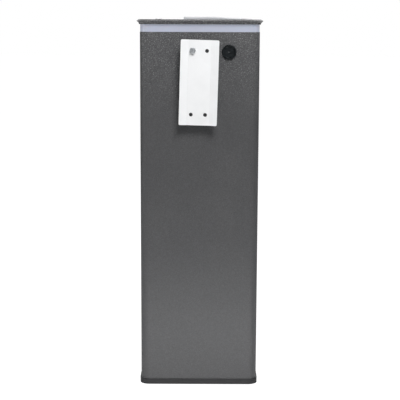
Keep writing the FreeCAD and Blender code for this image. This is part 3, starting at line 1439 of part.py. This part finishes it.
def check_document():
    """Stop if any object failed, any pocket cut nothing, or any sub-part is not sound."""
    DOC.recompute()
    for thing in DOC.Objects:
        if "Invalid" in thing.State or "Error" in thing.State:
            raise RuntimeError(f"{thing.Name} failed: {thing.State}")
        if thing.TypeId == "PartDesign::Pocket":
            if thing.Shape.Volume > thing.BaseFeature.Shape.Volume - HAIR:
                owner = thing.getParentGeoFeatureGroup().Label
                raise RuntimeError(f"{thing.Name} in {owner} cuts nothing")
    for part in PARTS:
        if part.Shape.isNull() or not part.Shape.isValid() or not part.Shape.Solids:
            raise RuntimeError(f"{part.Label} is not a sound solid")


def write_parts():
    os.makedirs("parts", exist_ok=True)
    for part in PARTS:
        part.Shape.exportStep(f"parts/{part.Label}.step")
        print(part.Label, len(part.Shape.Solids), round(part.Shape.Volume))


def main():
    fill_sheet()
    make_base()
    make_shell()
    make_light_band()
    make_cap()
    make_door()
    make_hinges()
    make_seal()
    make_display()
    make_reader()
    make_scanner()
    make_help_point()
    make_camera()
    make_tray()
    make_printer_frame()
    make_paper()
    make_print_drive()
    make_printer_cover()
    make_lock()
    make_rod_guides()
    make_bracket()
    make_bracket_fixing()
    make_plug()
    make_chassis()
    make_electronics()
    make_rail()
    make_fan()
    check_document()
    write_parts()


main()
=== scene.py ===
import json
import math

import bmesh
import bpy
from mathutils import Matrix, Vector


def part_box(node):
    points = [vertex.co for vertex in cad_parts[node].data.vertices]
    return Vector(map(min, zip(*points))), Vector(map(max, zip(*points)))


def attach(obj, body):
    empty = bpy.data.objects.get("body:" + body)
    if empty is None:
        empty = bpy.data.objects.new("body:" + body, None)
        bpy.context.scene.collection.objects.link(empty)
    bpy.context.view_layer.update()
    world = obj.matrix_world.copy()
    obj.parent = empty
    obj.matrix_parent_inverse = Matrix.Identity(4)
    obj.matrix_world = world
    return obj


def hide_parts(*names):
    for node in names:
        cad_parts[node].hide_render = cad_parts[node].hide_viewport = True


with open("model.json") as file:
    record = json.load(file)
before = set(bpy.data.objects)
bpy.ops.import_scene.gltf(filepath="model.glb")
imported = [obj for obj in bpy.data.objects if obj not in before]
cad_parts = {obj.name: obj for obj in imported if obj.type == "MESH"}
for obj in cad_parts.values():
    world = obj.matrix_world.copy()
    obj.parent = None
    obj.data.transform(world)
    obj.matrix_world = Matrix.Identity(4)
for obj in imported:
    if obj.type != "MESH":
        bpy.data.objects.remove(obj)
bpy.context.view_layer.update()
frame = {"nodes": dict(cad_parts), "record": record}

MM = 0.001
NODES = frame["nodes"]


# ------------------------------------------------------------------ materials

class Finish:
    """A Principled material whose textures run in the frame's own metres."""

    def __init__(self, name, color, roughness, metallic=0.0, **sockets):
        self.material = bpy.data.materials.new(name)
        self.material.use_nodes = True
        self.tree = self.material.node_tree
        self.shader = self.tree.nodes["Principled BSDF"]
        self.shader.inputs["Base Color"].default_value = (*color, 1.0)
        self.shader.inputs["Roughness"].default_value = roughness
        self.shader.inputs["Metallic"].default_value = metallic
        for socket, value in sockets.items():
            self.shader.inputs[socket.replace("_", " ")].default_value = value
        self.place = self.tree.nodes.new("ShaderNodeTexCoord").outputs["Object"]
        self.normal = None

    def link(self, start, end):
        self.tree.links.new(start, end)

    def stretched(self, scale):
        """The place, stretched by a factor along each axis."""
        if scale is None:
            return self.place
        mapping = self.tree.nodes.new("ShaderNodeMapping")
        mapping.inputs["Scale"].default_value = scale
        self.link(self.place, mapping.inputs["Vector"])
        return mapping.outputs["Vector"]

    def noise(self, size, detail=2.0, roughness=0.5, stretch=None):
        """Noise whose blotches are about size metres across."""
        node = self.tree.nodes.new("ShaderNodeTexNoise")
        node.inputs["Scale"].default_value = 1.0 / size
        node.inputs["Detail"].default_value = detail
        node.inputs["Roughness"].default_value = roughness
        self.link(self.stretched(stretch), node.inputs["Vector"])
        return node.outputs["Fac"]

    def cells(self, size, feature="F1"):
        """Distance to the nearest of scattered points, size metres apart."""
        node = self.tree.nodes.new("ShaderNodeTexVoronoi")
        node.feature = feature
        node.inputs["Scale"].default_value = 1.0 / size
        self.link(self.place, node.inputs["Vector"])
        return node.outputs["Distance"]

    def ramp(self, source, stops):
        """Colours along a 0 to 1 source, as (position, (r, g, b)) stops."""
        node = self.tree.nodes.new("ShaderNodeValToRGB")
        points = node.color_ramp.elements
        while len(points) < len(stops):
            points.new(0.5)
        for point, (position, color) in zip(points, stops):
            point.position = position
            point.color = (*color, 1.0)
        self.link(source, node.inputs["Fac"])
        return node.outputs["Color"]

    def shift(self, source, low, high, start=0.3, end=0.7):
        """A source mapped from start..end to low..high."""
        node = self.tree.nodes.new("ShaderNodeMapRange")
        for name, value in (("From Min", start), ("From Max", end), ("To Min", low), ("To Max", high)):
            node.inputs[name].default_value = value
        self.link(source, node.inputs["Value"])
        return node.outputs["Result"]

    def multiply(self, first, second):
        """Two colours multiplied together."""
        node = self.tree.nodes.new("ShaderNodeMix")
        node.data_type = "RGBA"
        node.blend_type = "MULTIPLY"
        node.inputs["Factor"].default_value = 1.0
        self.link(first, node.inputs["A"])
        self.link(second, node.inputs["B"])
        return node.outputs["Result"]

    def times(self, first, second):
        """Two numbers multiplied together."""
        node = self.tree.nodes.new("ShaderNodeMath")
        node.operation = "MULTIPLY"
        self.link(first, node.inputs[0])
        self.link(second, node.inputs[1])
        return node.outputs["Value"]

    def climb(self, low, high):
        """A number that rises from 0 to 1 between two heights above the floor."""
        split = self.tree.nodes.new("ShaderNodeSeparateXYZ")
        self.link(self.place, split.inputs["Vector"])
        return self.shift(split.outputs["Z"], 0.0, 1.0, low, high)

    def blend(self, amount, base, color):
        """A base colour taken towards another by an amount from 0 to 1."""
        node = self.tree.nodes.new("ShaderNodeMix")
        node.data_type = "RGBA"
        self.link(amount, node.inputs["Factor"])
        self.link(base, node.inputs["A"])
        node.inputs["B"].default_value = (*color, 1.0)
        return node.outputs["Result"]

    def color(self, source):
        self.link(source, self.shader.inputs["Base Color"])
        return self

    def rough(self, source, low, high, start=0.3, end=0.7):
        self.link(self.shift(source, low, high, start, end), self.shader.inputs["Roughness"])
        return self

    def bump(self, source, height, strength=1.0):
        """Relief of a height in metres, on top of any relief that is there already."""
        node = self.tree.nodes.new("ShaderNodeBump")
        node.inputs["Strength"].default_value = strength
        node.inputs["Distance"].default_value = height
        self.link(source, node.inputs["Height"])
        if self.normal is not None:
            self.link(self.normal, node.inputs["Normal"])
        self.normal = node.outputs["Normal"]
        self.link(self.normal, self.shader.inputs["Normal"])
        return self


def shade(color, factor):
    return tuple(channel * factor for channel in color)


def textured_coat(name, color, grain=1.1 * MM, contrast=0.28, roughness=0.52,
                  painted_glint_level=0.42, painted_glint_from=0.8):
    """Structured powder coat: a pebbled skin, faint handling marks, and pale specks near the top that are
    painted highlight, standing in for glints and the brighter light up there.
    """
    finish = Finish(name, color, roughness, Specular_IOR_Level=0.5)
    grain_noise = finish.noise(grain, 3.0, 0.62)
    fleck_noise = finish.noise(2.6 * grain, 2.0, 0.7)
    marks = finish.noise(0.16, 3.0, 0.55)
    pebbles = finish.ramp(grain_noise, [(0.34, shade(color, 1 - contrast)), (0.52, color),
                                        (0.72, shade(color, 1 + 1.5 * contrast))])
    flecks = finish.ramp(fleck_noise, [(0.36, (0.86, 0.86, 0.86)), (0.66, (1.14, 1.14, 1.15))])
    broad = finish.ramp(marks, [(0.3, (0.93, 0.93, 0.94)), (0.7, (1.06, 1.06, 1.05))])
    coat = finish.multiply(finish.multiply(pebbles, flecks), broad)
    # Painted highlight: pale specks that thicken with height brighten the top like glints of the key
    # light.
    painted_glint_specks = finish.shift(finish.noise(2.2 * MM, 2.0, 0.6), 0.0, 1.0, 0.55, 0.75)
    finish.color(finish.blend(finish.times(painted_glint_specks, finish.climb(painted_glint_from, 1.1)), coat,
                              (painted_glint_level, painted_glint_level, painted_glint_level)))
    finish.rough(marks, roughness - 0.05, roughness + 0.08)
    finish.bump(grain_noise, 0.35 * MM, 0.8)
    finish.bump(fleck_noise, 0.25 * MM, 0.5)
    return finish.material


def smooth_coat(name, color, roughness=0.36):
    """Smooth powder coat with faint orange peel and a little grime."""
    finish = Finish(name, color, roughness, Coat_Weight=0.15, Coat_Roughness=0.25)
    peel = finish.noise(2.2 * MM, 2.0, 0.4)
    grime = finish.noise(0.05, 4.0, 0.6)
    finish.color(finish.ramp(grime, [(0.25, shade(color, 0.955)), (0.6, color)]))
    finish.rough(grime, roughness + 0.08, roughness - 0.04)
    finish.bump(peel, 0.05 * MM, 0.35)
    return finish.material


def plated_steel(name, color=(0.72, 0.74, 0.76), roughness=0.38):
    """Zinc plate: cloudy grey metal with a faint spangle and fine scratches."""
    finish = Finish(name, color, roughness, 1.0)
    clouds = finish.noise(12 * MM, 4.0, 0.6)
    spangle = finish.cells(3.5 * MM)
    scratches = finish.noise(1.0 * MM, 2.0, 0.5, (1.0, 14.0, 1.0))
    finish.color(finish.ramp(clouds, [(0.3, shade(color, 0.8)), (0.7, shade(color, 1.12))]))
    finish.rough(spangle, roughness - 0.06, roughness + 0.12, 0.1, 0.8)
    finish.bump(scratches, 0.03 * MM, 0.4)
    return finish.material


def brushed_metal(name, color, roughness, along):
    """Metal brushed along one axis: long thin scratches in height, tone and roughness."""
    finish = Finish(name, color, roughness, 1.0)
    stretch = [1.0 if axis == along else 60.0 for axis in "xyz"]
    strokes = finish.noise(18 * MM, 5.0, 0.65, stretch)
    clouds = finish.noise(40 * MM, 3.0)
    tone = finish.ramp(strokes, [(0.25, shade(color, 0.78)), (0.75, shade(color, 1.1))])
    soft = finish.ramp(clouds, [(0.3, (0.94, 0.94, 0.94)), (0.7, (1.03, 1.03, 1.03))])
    finish.color(finish.multiply(tone, soft))
    finish.rough(strokes, roughness - 0.07, roughness + 0.12)
    finish.bump(strokes, 0.03 * MM, 0.5)
    return finish.material


def opal(name, color):
    """Opal acrylic: milky, satin, a little light carried under the skin, and a faint painted glow that
    evens out its shading.
    """
    finish = Finish(name, color, 0.32, Subsurface_Weight=0.2, Subsurface_Scale=0.004,
                    Emission_Color=(0.7, 0.75, 0.9, 1), Emission_Strength=0.3)
    haze = finish.noise(0.03, 3.0, 0.5)
    fine = finish.noise(0.8 * MM, 2.0)
    finish.color(finish.ramp(haze, [(0.3, shade(color, 0.97)), (0.7, shade(color, 1.03))]))
    finish.rough(haze, 0.28, 0.38)
    finish.bump(fine, 0.02 * MM, 0.3)
    return finish.material


def moulded(name, color, roughness=0.48, grain=0.9 * MM, depth=0.06 * MM, **sockets):
    """Moulded plastic with spark-eroded grain and slightly uneven gloss."""
    finish = Finish(name, color, roughness, **sockets)
    pits = finish.cells(grain, "SMOOTH_F1")
    sheen = finish.noise(0.05, 3.0, 0.6)
    finish.color(finish.ramp(sheen, [(0.3, shade(color, 0.88)), (0.7, shade(color, 1.12))]))
    finish.rough(sheen, roughness - 0.05, roughness + 0.07)
    finish.bump(pits, depth, 0.5)
    return finish.material


def rubber(name, color=(0.006, 0.0075, 0.0085), roughness=0.3):
    """Moulded rubber: near black, with a fine bloom."""
    finish = Finish(name, color, roughness, Specular_IOR_Level=0.4)
    bloom = finish.noise(9 * MM, 4.0, 0.6)
    skin = finish.noise(0.7 * MM, 2.0)
    finish.color(finish.ramp(bloom, [(0.3, shade(color, 0.8)), (0.75, shade(color, 1.7))]))
    finish.rough(bloom, roughness - 0.1, roughness + 0.12)
    finish.bump(skin, 0.05 * MM, 0.45)
    return finish.material


def clear(name, tint, roughness=0.015):
    """Clear sheet: clean in the middle of each blotch and faintly smeared around it."""
    finish = Finish(name, tint, roughness, Transmission_Weight=1.0, IOR=1.5)
    smears = finish.noise(0.03, 4.0, 0.65)
    finish.rough(smears, roughness, roughness + 0.06, 0.45, 0.75)
    finish.bump(finish.noise(0.05, 1.0), 0.02 * MM, 0.2)
    return finish.material


def piano_black(name, color=(0.008, 0.008, 0.01)):
    """Gloss black window with fingerprints in its gloss."""
    finish = Finish(name, color, 0.06, Coat_Weight=0.6, Coat_Roughness=0.04)
    prints = finish.noise(14 * MM, 5.0, 0.7)
    finish.color(finish.ramp(prints, [(0.4, color), (0.8, shade(color, 1.8))]))
    finish.rough(prints, 0.05, 0.2, 0.45, 0.8)
    return finish.material


def paper(name, color, across=1.0):
    """Wound thermal paper: fibres, and on its ends the edges of the turns."""
    finish = Finish(name, color, 0.72)
    fibres = finish.noise(1.5 * MM, 4.0, 0.7, (0.4, 1.0, 1.0))
    tone = finish.noise(0.02, 2.0)
    finish.color(finish.ramp(tone, [(0.3, shade(color, 0.93)), (0.7, color)]))
    finish.bump(fibres, 0.06 * MM * across, 0.4)
    finish.rough(fibres, 0.66, 0.8)
    return finish.material


def lit(name, color, strength):
    """A lit part of the screen, with a fine pixel weave in its glow."""
    finish = Finish(name, shade(color, 0.4), 0.4, Emission_Strength=strength)
    weave = finish.noise(0.5 * MM, 1.0, 0.5)
    finish.link(finish.ramp(weave, [(0.2, shade(color, 0.86)), (0.8, color)]),
                finish.shader.inputs["Emission Color"])
    finish.rough(weave, 0.36, 0.44)
    return finish.material


BODY_GREY = (0.06, 0.06, 0.062)
SLOT_FINISHES = {
    "grey_powder_coat": lambda n: textured_coat(n, BODY_GREY),
    # Painted light: the cap's grey is a lighter copy of the body coat for the light it catches. Its
    # painted highlight specks start at 0.2 m, so they cover the whole cap.
    "cap_coat": lambda n: textured_coat(n, (0.085, 0.085, 0.088), painted_glint_level=0.6, painted_glint_from=0.2),
    "plinth_black": lambda n: textured_coat(n, (0.012, 0.012, 0.013), roughness=0.6),
    "white_coat": lambda n: smooth_coat(n, (0.8, 0.803, 0.807)),
    "opal_diffuser": lambda n: opal(n, (0.24, 0.25, 0.3)),
    "zinc_steel": plated_steel,
    "stainless": lambda n: brushed_metal(n, (0.66, 0.66, 0.67), 0.3, "x"),
    "aluminium": lambda n: brushed_metal(n, (0.72, 0.72, 0.74), 0.36, "z"),
    "radome_plastic": lambda n: moulded(n, (0.44, 0.45, 0.465), 0.42),
    "black_rubber": rubber,
    "black_plastic": lambda n: moulded(n, (0.022, 0.022, 0.024), 0.46),
    "clear_glass": lambda n: clear(n, (0.92, 0.97, 0.96)),
    "clear_plastic": lambda n: clear(n, (0.93, 0.95, 0.97), 0.03),
    "dark_glass": piano_black,
    "button_blue": lambda n: moulded(n, (0.03, 0.14, 0.5), 0.24, 1.4 * MM, 0.02 * MM,
                                     Coat_Weight=0.4, Coat_Roughness=0.08),
    "paper": lambda n: paper(n, (0.86, 0.85, 0.81)),
    "card_core": lambda n: paper(n, (0.36, 0.27, 0.18), 1.6),
    "grey_plastic": lambda n: moulded(n, (0.2, 0.21, 0.22), 0.5),
    "light_plastic": lambda n: moulded(n, (0.66, 0.67, 0.66), 0.45),
    "brass": lambda n: brushed_metal(n, (0.74, 0.56, 0.27), 0.26, "y"),
    "acetal": lambda n: moulded(n, (0.78, 0.77, 0.7), 0.4, 1.2 * MM, 0.03 * MM),
}
FINISHES = {slot: make(slot) for slot, make in SLOT_FINISHES.items()}

# How far each node's edges are broken, in metres; sheet edges are barely broken, castings more
EDGE_BREAKS = {
    "rear_shell": 0.5, "front_door": 0.5, "top_frame": 0.4, "light_ring": 0.8, "top_cap": 0.3,
    "base_plinth": 1.0, "accessory_bracket": 0.7, "antenna_cover": 1.2, "cable_plug": 0.8,
    "hinge_frame_leaves": 0.5, "hinge_door_leaves": 0.5, "ticket_tray": 0.5, "card_reader": 0.4,
    "power_supply": 0.8, "controller": 0.5, "fan_frame": 0.8, "circuit_breaker": 0.8,
    "terminal_blocks": 0.5, "display_clamp": 0.4, "printer_frame": 0.3, "printer_cover": 0.5,
    "help_button": 0.3, "lock_barrel": 0.3, "lock_crank": 0.5, "rod_guides": 0.8, "heater": 0.4,
    "cable_glands": 0.6, "chassis_plate": 0.4, "mounting_rail": 0.3, "breaker_lever": 0.4,
    "paper_roll": 0.5, "print_head": 0.4, "camera_module": 0.5, "base_plate": 0.6,
    "lock_rod_upper": 0.5, "lock_rod_lower": 0.5, "rod_keepers": 0.5, "ticket_flap": 0.3,
}


def finish_nodes():
    """Give every CAD node its material, and the listed ones broken edges."""
    slots = {row["node"]: row["material_slot"] for row in frame["record"]["subparts"]}
    for name, node in NODES.items():
        node.data.materials.clear()
        node.data.materials.append(FINISHES[slots[name]])
        if name in EDGE_BREAKS:
            bevel = node.modifiers.new("broken_edges", "BEVEL")
            bevel.width = EDGE_BREAKS[name] * MM
            bevel.segments = 2
            bevel.limit_method = "ANGLE"
            bevel.angle_limit = math.radians(40)
            bevel.harden_normals = False


# ------------------------------------------------------------------ pieces

def new_piece(name, mesh_builder, material, body):
    """A piece made by a bmesh builder, finished, and riding on a CAD body."""
    mesh = bpy.data.meshes.new(name)
    build = bmesh.new()
    mesh_builder(build)
    bmesh.ops.recalc_face_normals(build, faces=build.faces)
    build.to_mesh(mesh)
    build.free()
    piece = bpy.data.objects.new(name, mesh)
    bpy.context.scene.collection.objects.link(piece)
    mesh.materials.append(material)
    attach(piece, body)
    return piece


def rounded_outline(width, height, radius, steps=6):
    """Points round a rounded rectangle about the origin, anticlockwise."""
    points = []
    for corner in range(4):
        middle_x = (width / 2 - radius) * (1 if corner in (0, 3) else -1)
        middle_y = (height / 2 - radius) * (1 if corner in (0, 1) else -1)
        for i in range(steps + 1):
            angle = math.pi / 2 * (corner + i / steps)
            points.append((middle_x + radius * math.cos(angle), middle_y + radius * math.sin(angle)))
    return points


def tile(build, x, z, width, height, radius, front, thickness):
    """A rounded tile facing the user at -Y, its front face at y = front."""
    outline = rounded_outline(width, height, radius)
    rings = []
    for inset, y in ((0.0, front + thickness), (0.0, front + 0.25 * thickness), (0.2 * thickness, front)):
        shrink = [(1 - 2 * inset / width), (1 - 2 * inset / height)]
        rings.append([build.verts.new((x + px * shrink[0], y, z + pz * shrink[1]))
                      for px, pz in outline])
    for lower, upper in zip(rings, rings[1:]):
        for i, vert in enumerate(lower):
            following = (i + 1) % len(lower)
            build.faces.new((vert, lower[following], upper[following], upper[i]))
    build.faces.new(rings[-1])
    build.faces.new(list(reversed(rings[0])))


def lathe(build, profile, centre, steps=64):
    """A turned solid about a Y line through centre, from (radius, y) points."""
    rings = []
    for radius, y in profile:
        if radius < 1e-9:
            rings.append([build.verts.new(centre + Vector((0, y, 0)))])
            continue
        rings.append([build.verts.new(centre + Vector((radius * math.cos(2 * math.pi * i / steps), y,
                                                       radius * math.sin(2 * math.pi * i / steps))))
                      for i in range(steps)])
    for first, second in zip(rings, rings[1:]):
        for i in range(steps):
            following = (i + 1) % steps
            corners = [first[i % len(first)], first[following % len(first)],
                       second[following % len(second)], second[i % len(second)]]
            unique = list(dict.fromkeys(corners))
            if len(unique) > 2:
                build.faces.new(unique)


def make_screen():
    """The start page behind the display glass: a header, four choices and a wide button."""
    low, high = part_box("display_module")
    glass_low, glass_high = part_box("display_glass")
    rim = 16 * MM
    width = glass_high.x - glass_low.x - 2 * rim
    height = glass_high.z - glass_low.z - 2 * rim
    middle_x = (low.x + high.x) / 2
    middle_z = (low.z + high.z) / 2
    back = low.y
    page = 0.35 * MM
    raised = 0.15 * MM

    def panel(build):
        tile(build, middle_x, middle_z, width, height, 3 * MM, back - page, page)

    new_piece("screen_page", panel, lit("screen_page", (0.025, 0.06, 0.12), 0.9), "door")

    def header(build):
        tile(build, middle_x, middle_z + height * 0.38, width * 0.92, height * 0.13, 3 * MM,
             back - page - raised, raised)

    new_piece("screen_header", header, lit("screen_header", (0.09, 0.3, 0.62), 1.1), "door")

    columns = 4
    pitch = width * 0.92 / columns
    icon_z = middle_z + height * 0.03

    def choices(build):
        for i in range(columns):
            x = middle_x + (i - (columns - 1) / 2) * pitch
            tile(build, x, icon_z, pitch * 0.88, height * 0.42, 3 * MM, back - page - raised, raised)

    new_piece("screen_choices", choices, lit("screen_choices", (0.62, 0.68, 0.74), 0.9), "door")

    def icons(build):
        front = back - page - 2 * raised
        for i in range(columns):
            x = middle_x + (i - (columns - 1) / 2) * pitch
            if i == 0:
                tile(build, x, icon_z, pitch * 0.5, pitch * 0.34, 1.5 * MM, front, raised)
            elif i == 1:
                tile(build, x, icon_z + pitch * 0.06, pitch * 0.52, pitch * 0.16, 3.5 * MM, front, raised)
                tile(build, x, icon_z - pitch * 0.1, pitch * 0.7, pitch * 0.16, 3 * MM, front, raised)
            elif i == 2:
                tile(build, x, icon_z, pitch * 0.46, pitch * 0.46, pitch * 0.229, front, raised)
            else:
                for step in (-1, 0, 1):
                    tile(build, x, icon_z + step * pitch * 0.17, pitch * 0.56, pitch * 0.09,
                         0.9 * MM, front, raised)

    new_piece("screen_icons", icons, lit("screen_icons", (0.03, 0.12, 0.3), 0.6), "door")

    def confirm(build):
        tile(build, middle_x, middle_z - height * 0.36, width * 0.5, height * 0.14, 5 * MM,
             back - page - raised, raised)

    new_piece("screen_confirm", confirm, lit("screen_confirm", (0.08, 0.5, 0.2), 1.0), "door")


def make_reader_mark():
    """A thin lit ring that shows where a card or phone is held."""
    low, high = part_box("reader_window")
    centre = Vector(((low.x + high.x) / 2, low.y, (low.z + high.z) / 2))
    radius = 20 * MM

    def ring(build):
        lathe(build, [(radius, 0.0), (radius, -0.25 * MM), (radius + 1.6 * MM, -0.25 * MM),
                      (radius + 1.6 * MM, 0.0), (radius, 0.0)], centre, 96)

    new_piece("reader_light", ring, lit("reader_light", (0.1, 0.55, 0.75), 1.4), "door")


def helix_rod(build, start, length, radius, pitch, turn_steps=36, per_pitch=8):
    """A threaded rod along +Y: its crest winds round as it goes."""
    rows = []
    count = int(length / pitch * per_pitch)
    depth = 0.61 * pitch * 0.8
    for j in range(count + 1):
        y = length * j / count
        row = []
        for i in range(turn_steps):
            phase = (y / pitch - i / turn_steps) % 1.0
            ridge = abs(2 * phase - 1)
            ends = min(1.0, (length - y) / (0.6 * pitch) + 0.25)
            r = (radius - depth * (1 - ridge)) * (0.86 + 0.14 * ends)
            angle = 2 * math.pi * i / turn_steps
            row.append(build.verts.new(start + Vector((r * math.cos(angle), y, r * math.sin(angle)))))
        rows.append(row)
    for first, second in zip(rows, rows[1:]):
        for i in range(turn_steps):
            following = (i + 1) % turn_steps
            build.faces.new((first[i], first[following], second[following], second[i]))
    build.faces.new(rows[-1])
    build.faces.new(list(reversed(rows[0])))


def make_stud():
    """The bracket's stud with a real thread, in place of the plain one, and its chamfered nut."""
    low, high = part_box("bracket_stud")
    nut_low, nut_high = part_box("bracket_nut")
    x = (nut_low.x + nut_high.x) / 2
    z = (nut_low.z + nut_high.z) / 2
    head, shank, shoulder = 10 * MM, 5 * MM, 9 * MM
    wall = low.y + 3 * MM
    outside = wall + 2 * MM
    bracket_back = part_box("accessory_bracket")[0].y

    def body(build):
        profile = [(0, low.y), (head - 0.6 * MM, low.y), (head, low.y + 0.6 * MM), (head, wall),
                   (shank, wall), (shank, outside), (shoulder - 0.4 * MM, outside),
                   (shoulder, outside + 0.4 * MM), (shoulder, bracket_back - 0.5 * MM),
                   (shoulder - 0.4 * MM, bracket_back - 0.1 * MM), (shank * 0.8, bracket_back - 0.1 * MM),
                   (0, bracket_back - 0.1 * MM)]
        lathe(build, profile, Vector((x, 0, z)))
        start = Vector((x, bracket_back - 0.3 * MM, z))
        helix_rod(build, start, high.y - start.y, shank, 1.5 * MM)

    stud = new_piece("threaded_stud", body, FINISHES["zinc_steel"], "column")
    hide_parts("bracket_stud")

    def nut(build):
        steps = 72
        across = (nut_high.z - nut_low.z) / 2
        corner = (nut_high.x - nut_low.x) / 2
        thick = nut_high.y - nut_low.y
        rings = []
        chamfer = 0.9 * MM

        def hexagon(angle):
            return across / math.cos((angle + math.pi / 6) % (math.pi / 3) - math.pi / 6)

        turned = corner - 1.5 * MM
        levels = [(0.0, shank * 1.06, False), (0.0, turned, False), (chamfer, None, True),
                  (thick - chamfer, None, True), (thick, turned, False), (thick, shank * 1.12, False),
                  (thick - 0.8 * MM, shank * 0.99, False), (0.0, shank * 0.99, False)]
        for y, radius, is_hex in levels:
            ring = []
            for i in range(steps):
                angle = 2 * math.pi * i / steps
                flat = hexagon(angle + math.pi / 6)
                r = flat if is_hex else min(radius, flat)
                if is_hex:
                    r = min(flat, corner)
                ring.append(build.verts.new((x + r * math.cos(angle), nut_low.y + y,
                                             z + r * math.sin(angle))))
            rings.append(ring)
        for first, second in zip(rings, rings[1:] + rings[:1]):
            for i in range(steps):
                following = (i + 1) % steps
                build.faces.new((first[i], first[following], second[following], second[i]))

    piece = new_piece("chamfered_nut", nut, FINISHES["zinc_steel"], "column")
    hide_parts("bracket_nut")


# ------------------------------------------------------------------ stage, light and camera

def make_stage():
    """A wide pale floor and an even pale surround."""
    floor_mesh = bpy.data.meshes.new("floor")
    half = 30.0
    floor_mesh.from_pydata([(-half, -half, 0), (half, -half, 0), (half, half, 0), (-half, half, 0)],
                           [], [(0, 1, 2, 3)])
    floor = bpy.data.objects.new("floor", floor_mesh)
    bpy.context.scene.collection.objects.link(floor)
    finish = Finish("pale_floor", (0.86, 0.86, 0.86), 0.6, Emission_Color=(1, 1, 1, 1))
    path = finish.tree.nodes.new("ShaderNodeLightPath")
    seen = path.outputs["Is Camera Ray"]
    finish.color(finish.ramp(seen, [(0.0, (0.86, 0.86, 0.86)), (1.0, (0.14, 0.14, 0.14))]))
    finish.link(finish.shift(seen, 0.0, 0.97, 0.0, 1.0), finish.shader.inputs["Emission Strength"])
    floor_mesh.materials.append(finish.material)

    world = bpy.data.worlds.new("surround")
    bpy.context.scene.world = world
    world.use_nodes = True
    tree = world.node_tree
    seen = tree.nodes.new("ShaderNodeBackground")
    seen.inputs["Color"].default_value = (1, 1, 1, 1)
    seen.inputs["Strength"].default_value = 1.0
    felt = tree.nodes["Background"]
    felt.inputs["Color"].default_value = (0.93, 0.96, 1.0, 1)
    felt.inputs["Strength"].default_value = 0.135
    path = tree.nodes.new("ShaderNodeLightPath")
    mix = tree.nodes.new("ShaderNodeMixShader")
    tree.links.new(path.outputs["Is Camera Ray"], mix.inputs["Fac"])
    tree.links.new(felt.outputs["Background"], mix.inputs[1])
    tree.links.new(seen.outputs["Background"], mix.inputs[2])
    tree.links.new(mix.outputs["Shader"], tree.nodes["World Output"].inputs["Surface"])


def area_light(name, place, target, size, power, color=(1, 1, 1)):
    light = bpy.data.lights.new(name, "AREA")
    light.shape = "RECTANGLE"
    light.size, light.size_y = size
    light.energy = power
    light.color = color
    lamp = bpy.data.objects.new(name, light)
    bpy.context.scene.collection.objects.link(lamp)
    lamp.location = place
    lamp.rotation_euler = (Vector(target) - Vector(place)).to_track_quat("-Z", "Y").to_euler()
    return lamp


def make_lights():
    """A high key from the rear right, a tall light from the left, a low strip just above the floor at the
    rear, and a fill and a key from the front.
    """
    column = (0.0, 0.15, 0.75)
    area_light("key", (-0.52, 1.5, 2.9), (0, 0.15, 0.85), (0.95, 0.95), 80)
    area_light("left_rim", (2.6, 0.9, 1.2), column, (0.8, 1.6), 16)
    area_light("floor_bounce", (0.0, 0.55, 0.02), (0.0, 0.15, 0.1), (1.0, 0.25), 2.5)
    area_light("front_fill", (1.4, -4.2, 2.6), (0, -0.15, 0.7), (2.4, 2.0), 60)
    area_light("front_key", (-1.5, -3.4, 3.6), (0, -0.15, 0.8), (1.0, 1.0), 60)


def make_camera():
    """The camera stands 3.25 m behind the rear face, as high as the cap, and looks down a little."""
    data = bpy.data.cameras.new("camera")
    data.sensor_width = 36.0
    data.lens = 99.2
    data.clip_end = 200.0
    camera = bpy.data.objects.new("camera", data)
    bpy.context.scene.collection.objects.link(camera)
    rear_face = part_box("rear_shell")[1].y
    distance, level, aside = 3.253, 1.105, -0.0022
    pitch, roll = math.radians(9.30), math.radians(0.22)
    facing = Matrix.Rotation(math.pi, 4, "Z") @ Matrix.Rotation(math.pi / 2 - pitch, 4, "X")
    camera.matrix_world = (Matrix.Translation((aside, rear_face + distance, level)) @ facing
                           @ Matrix.Rotation(roll, 4, "Z"))
    bpy.context.scene.camera = camera


finish_nodes()
make_screen()
make_reader_mark()
make_stud()
make_stage()
make_lights()
make_camera()
bpy.context.scene.view_settings.view_transform = "Standard"
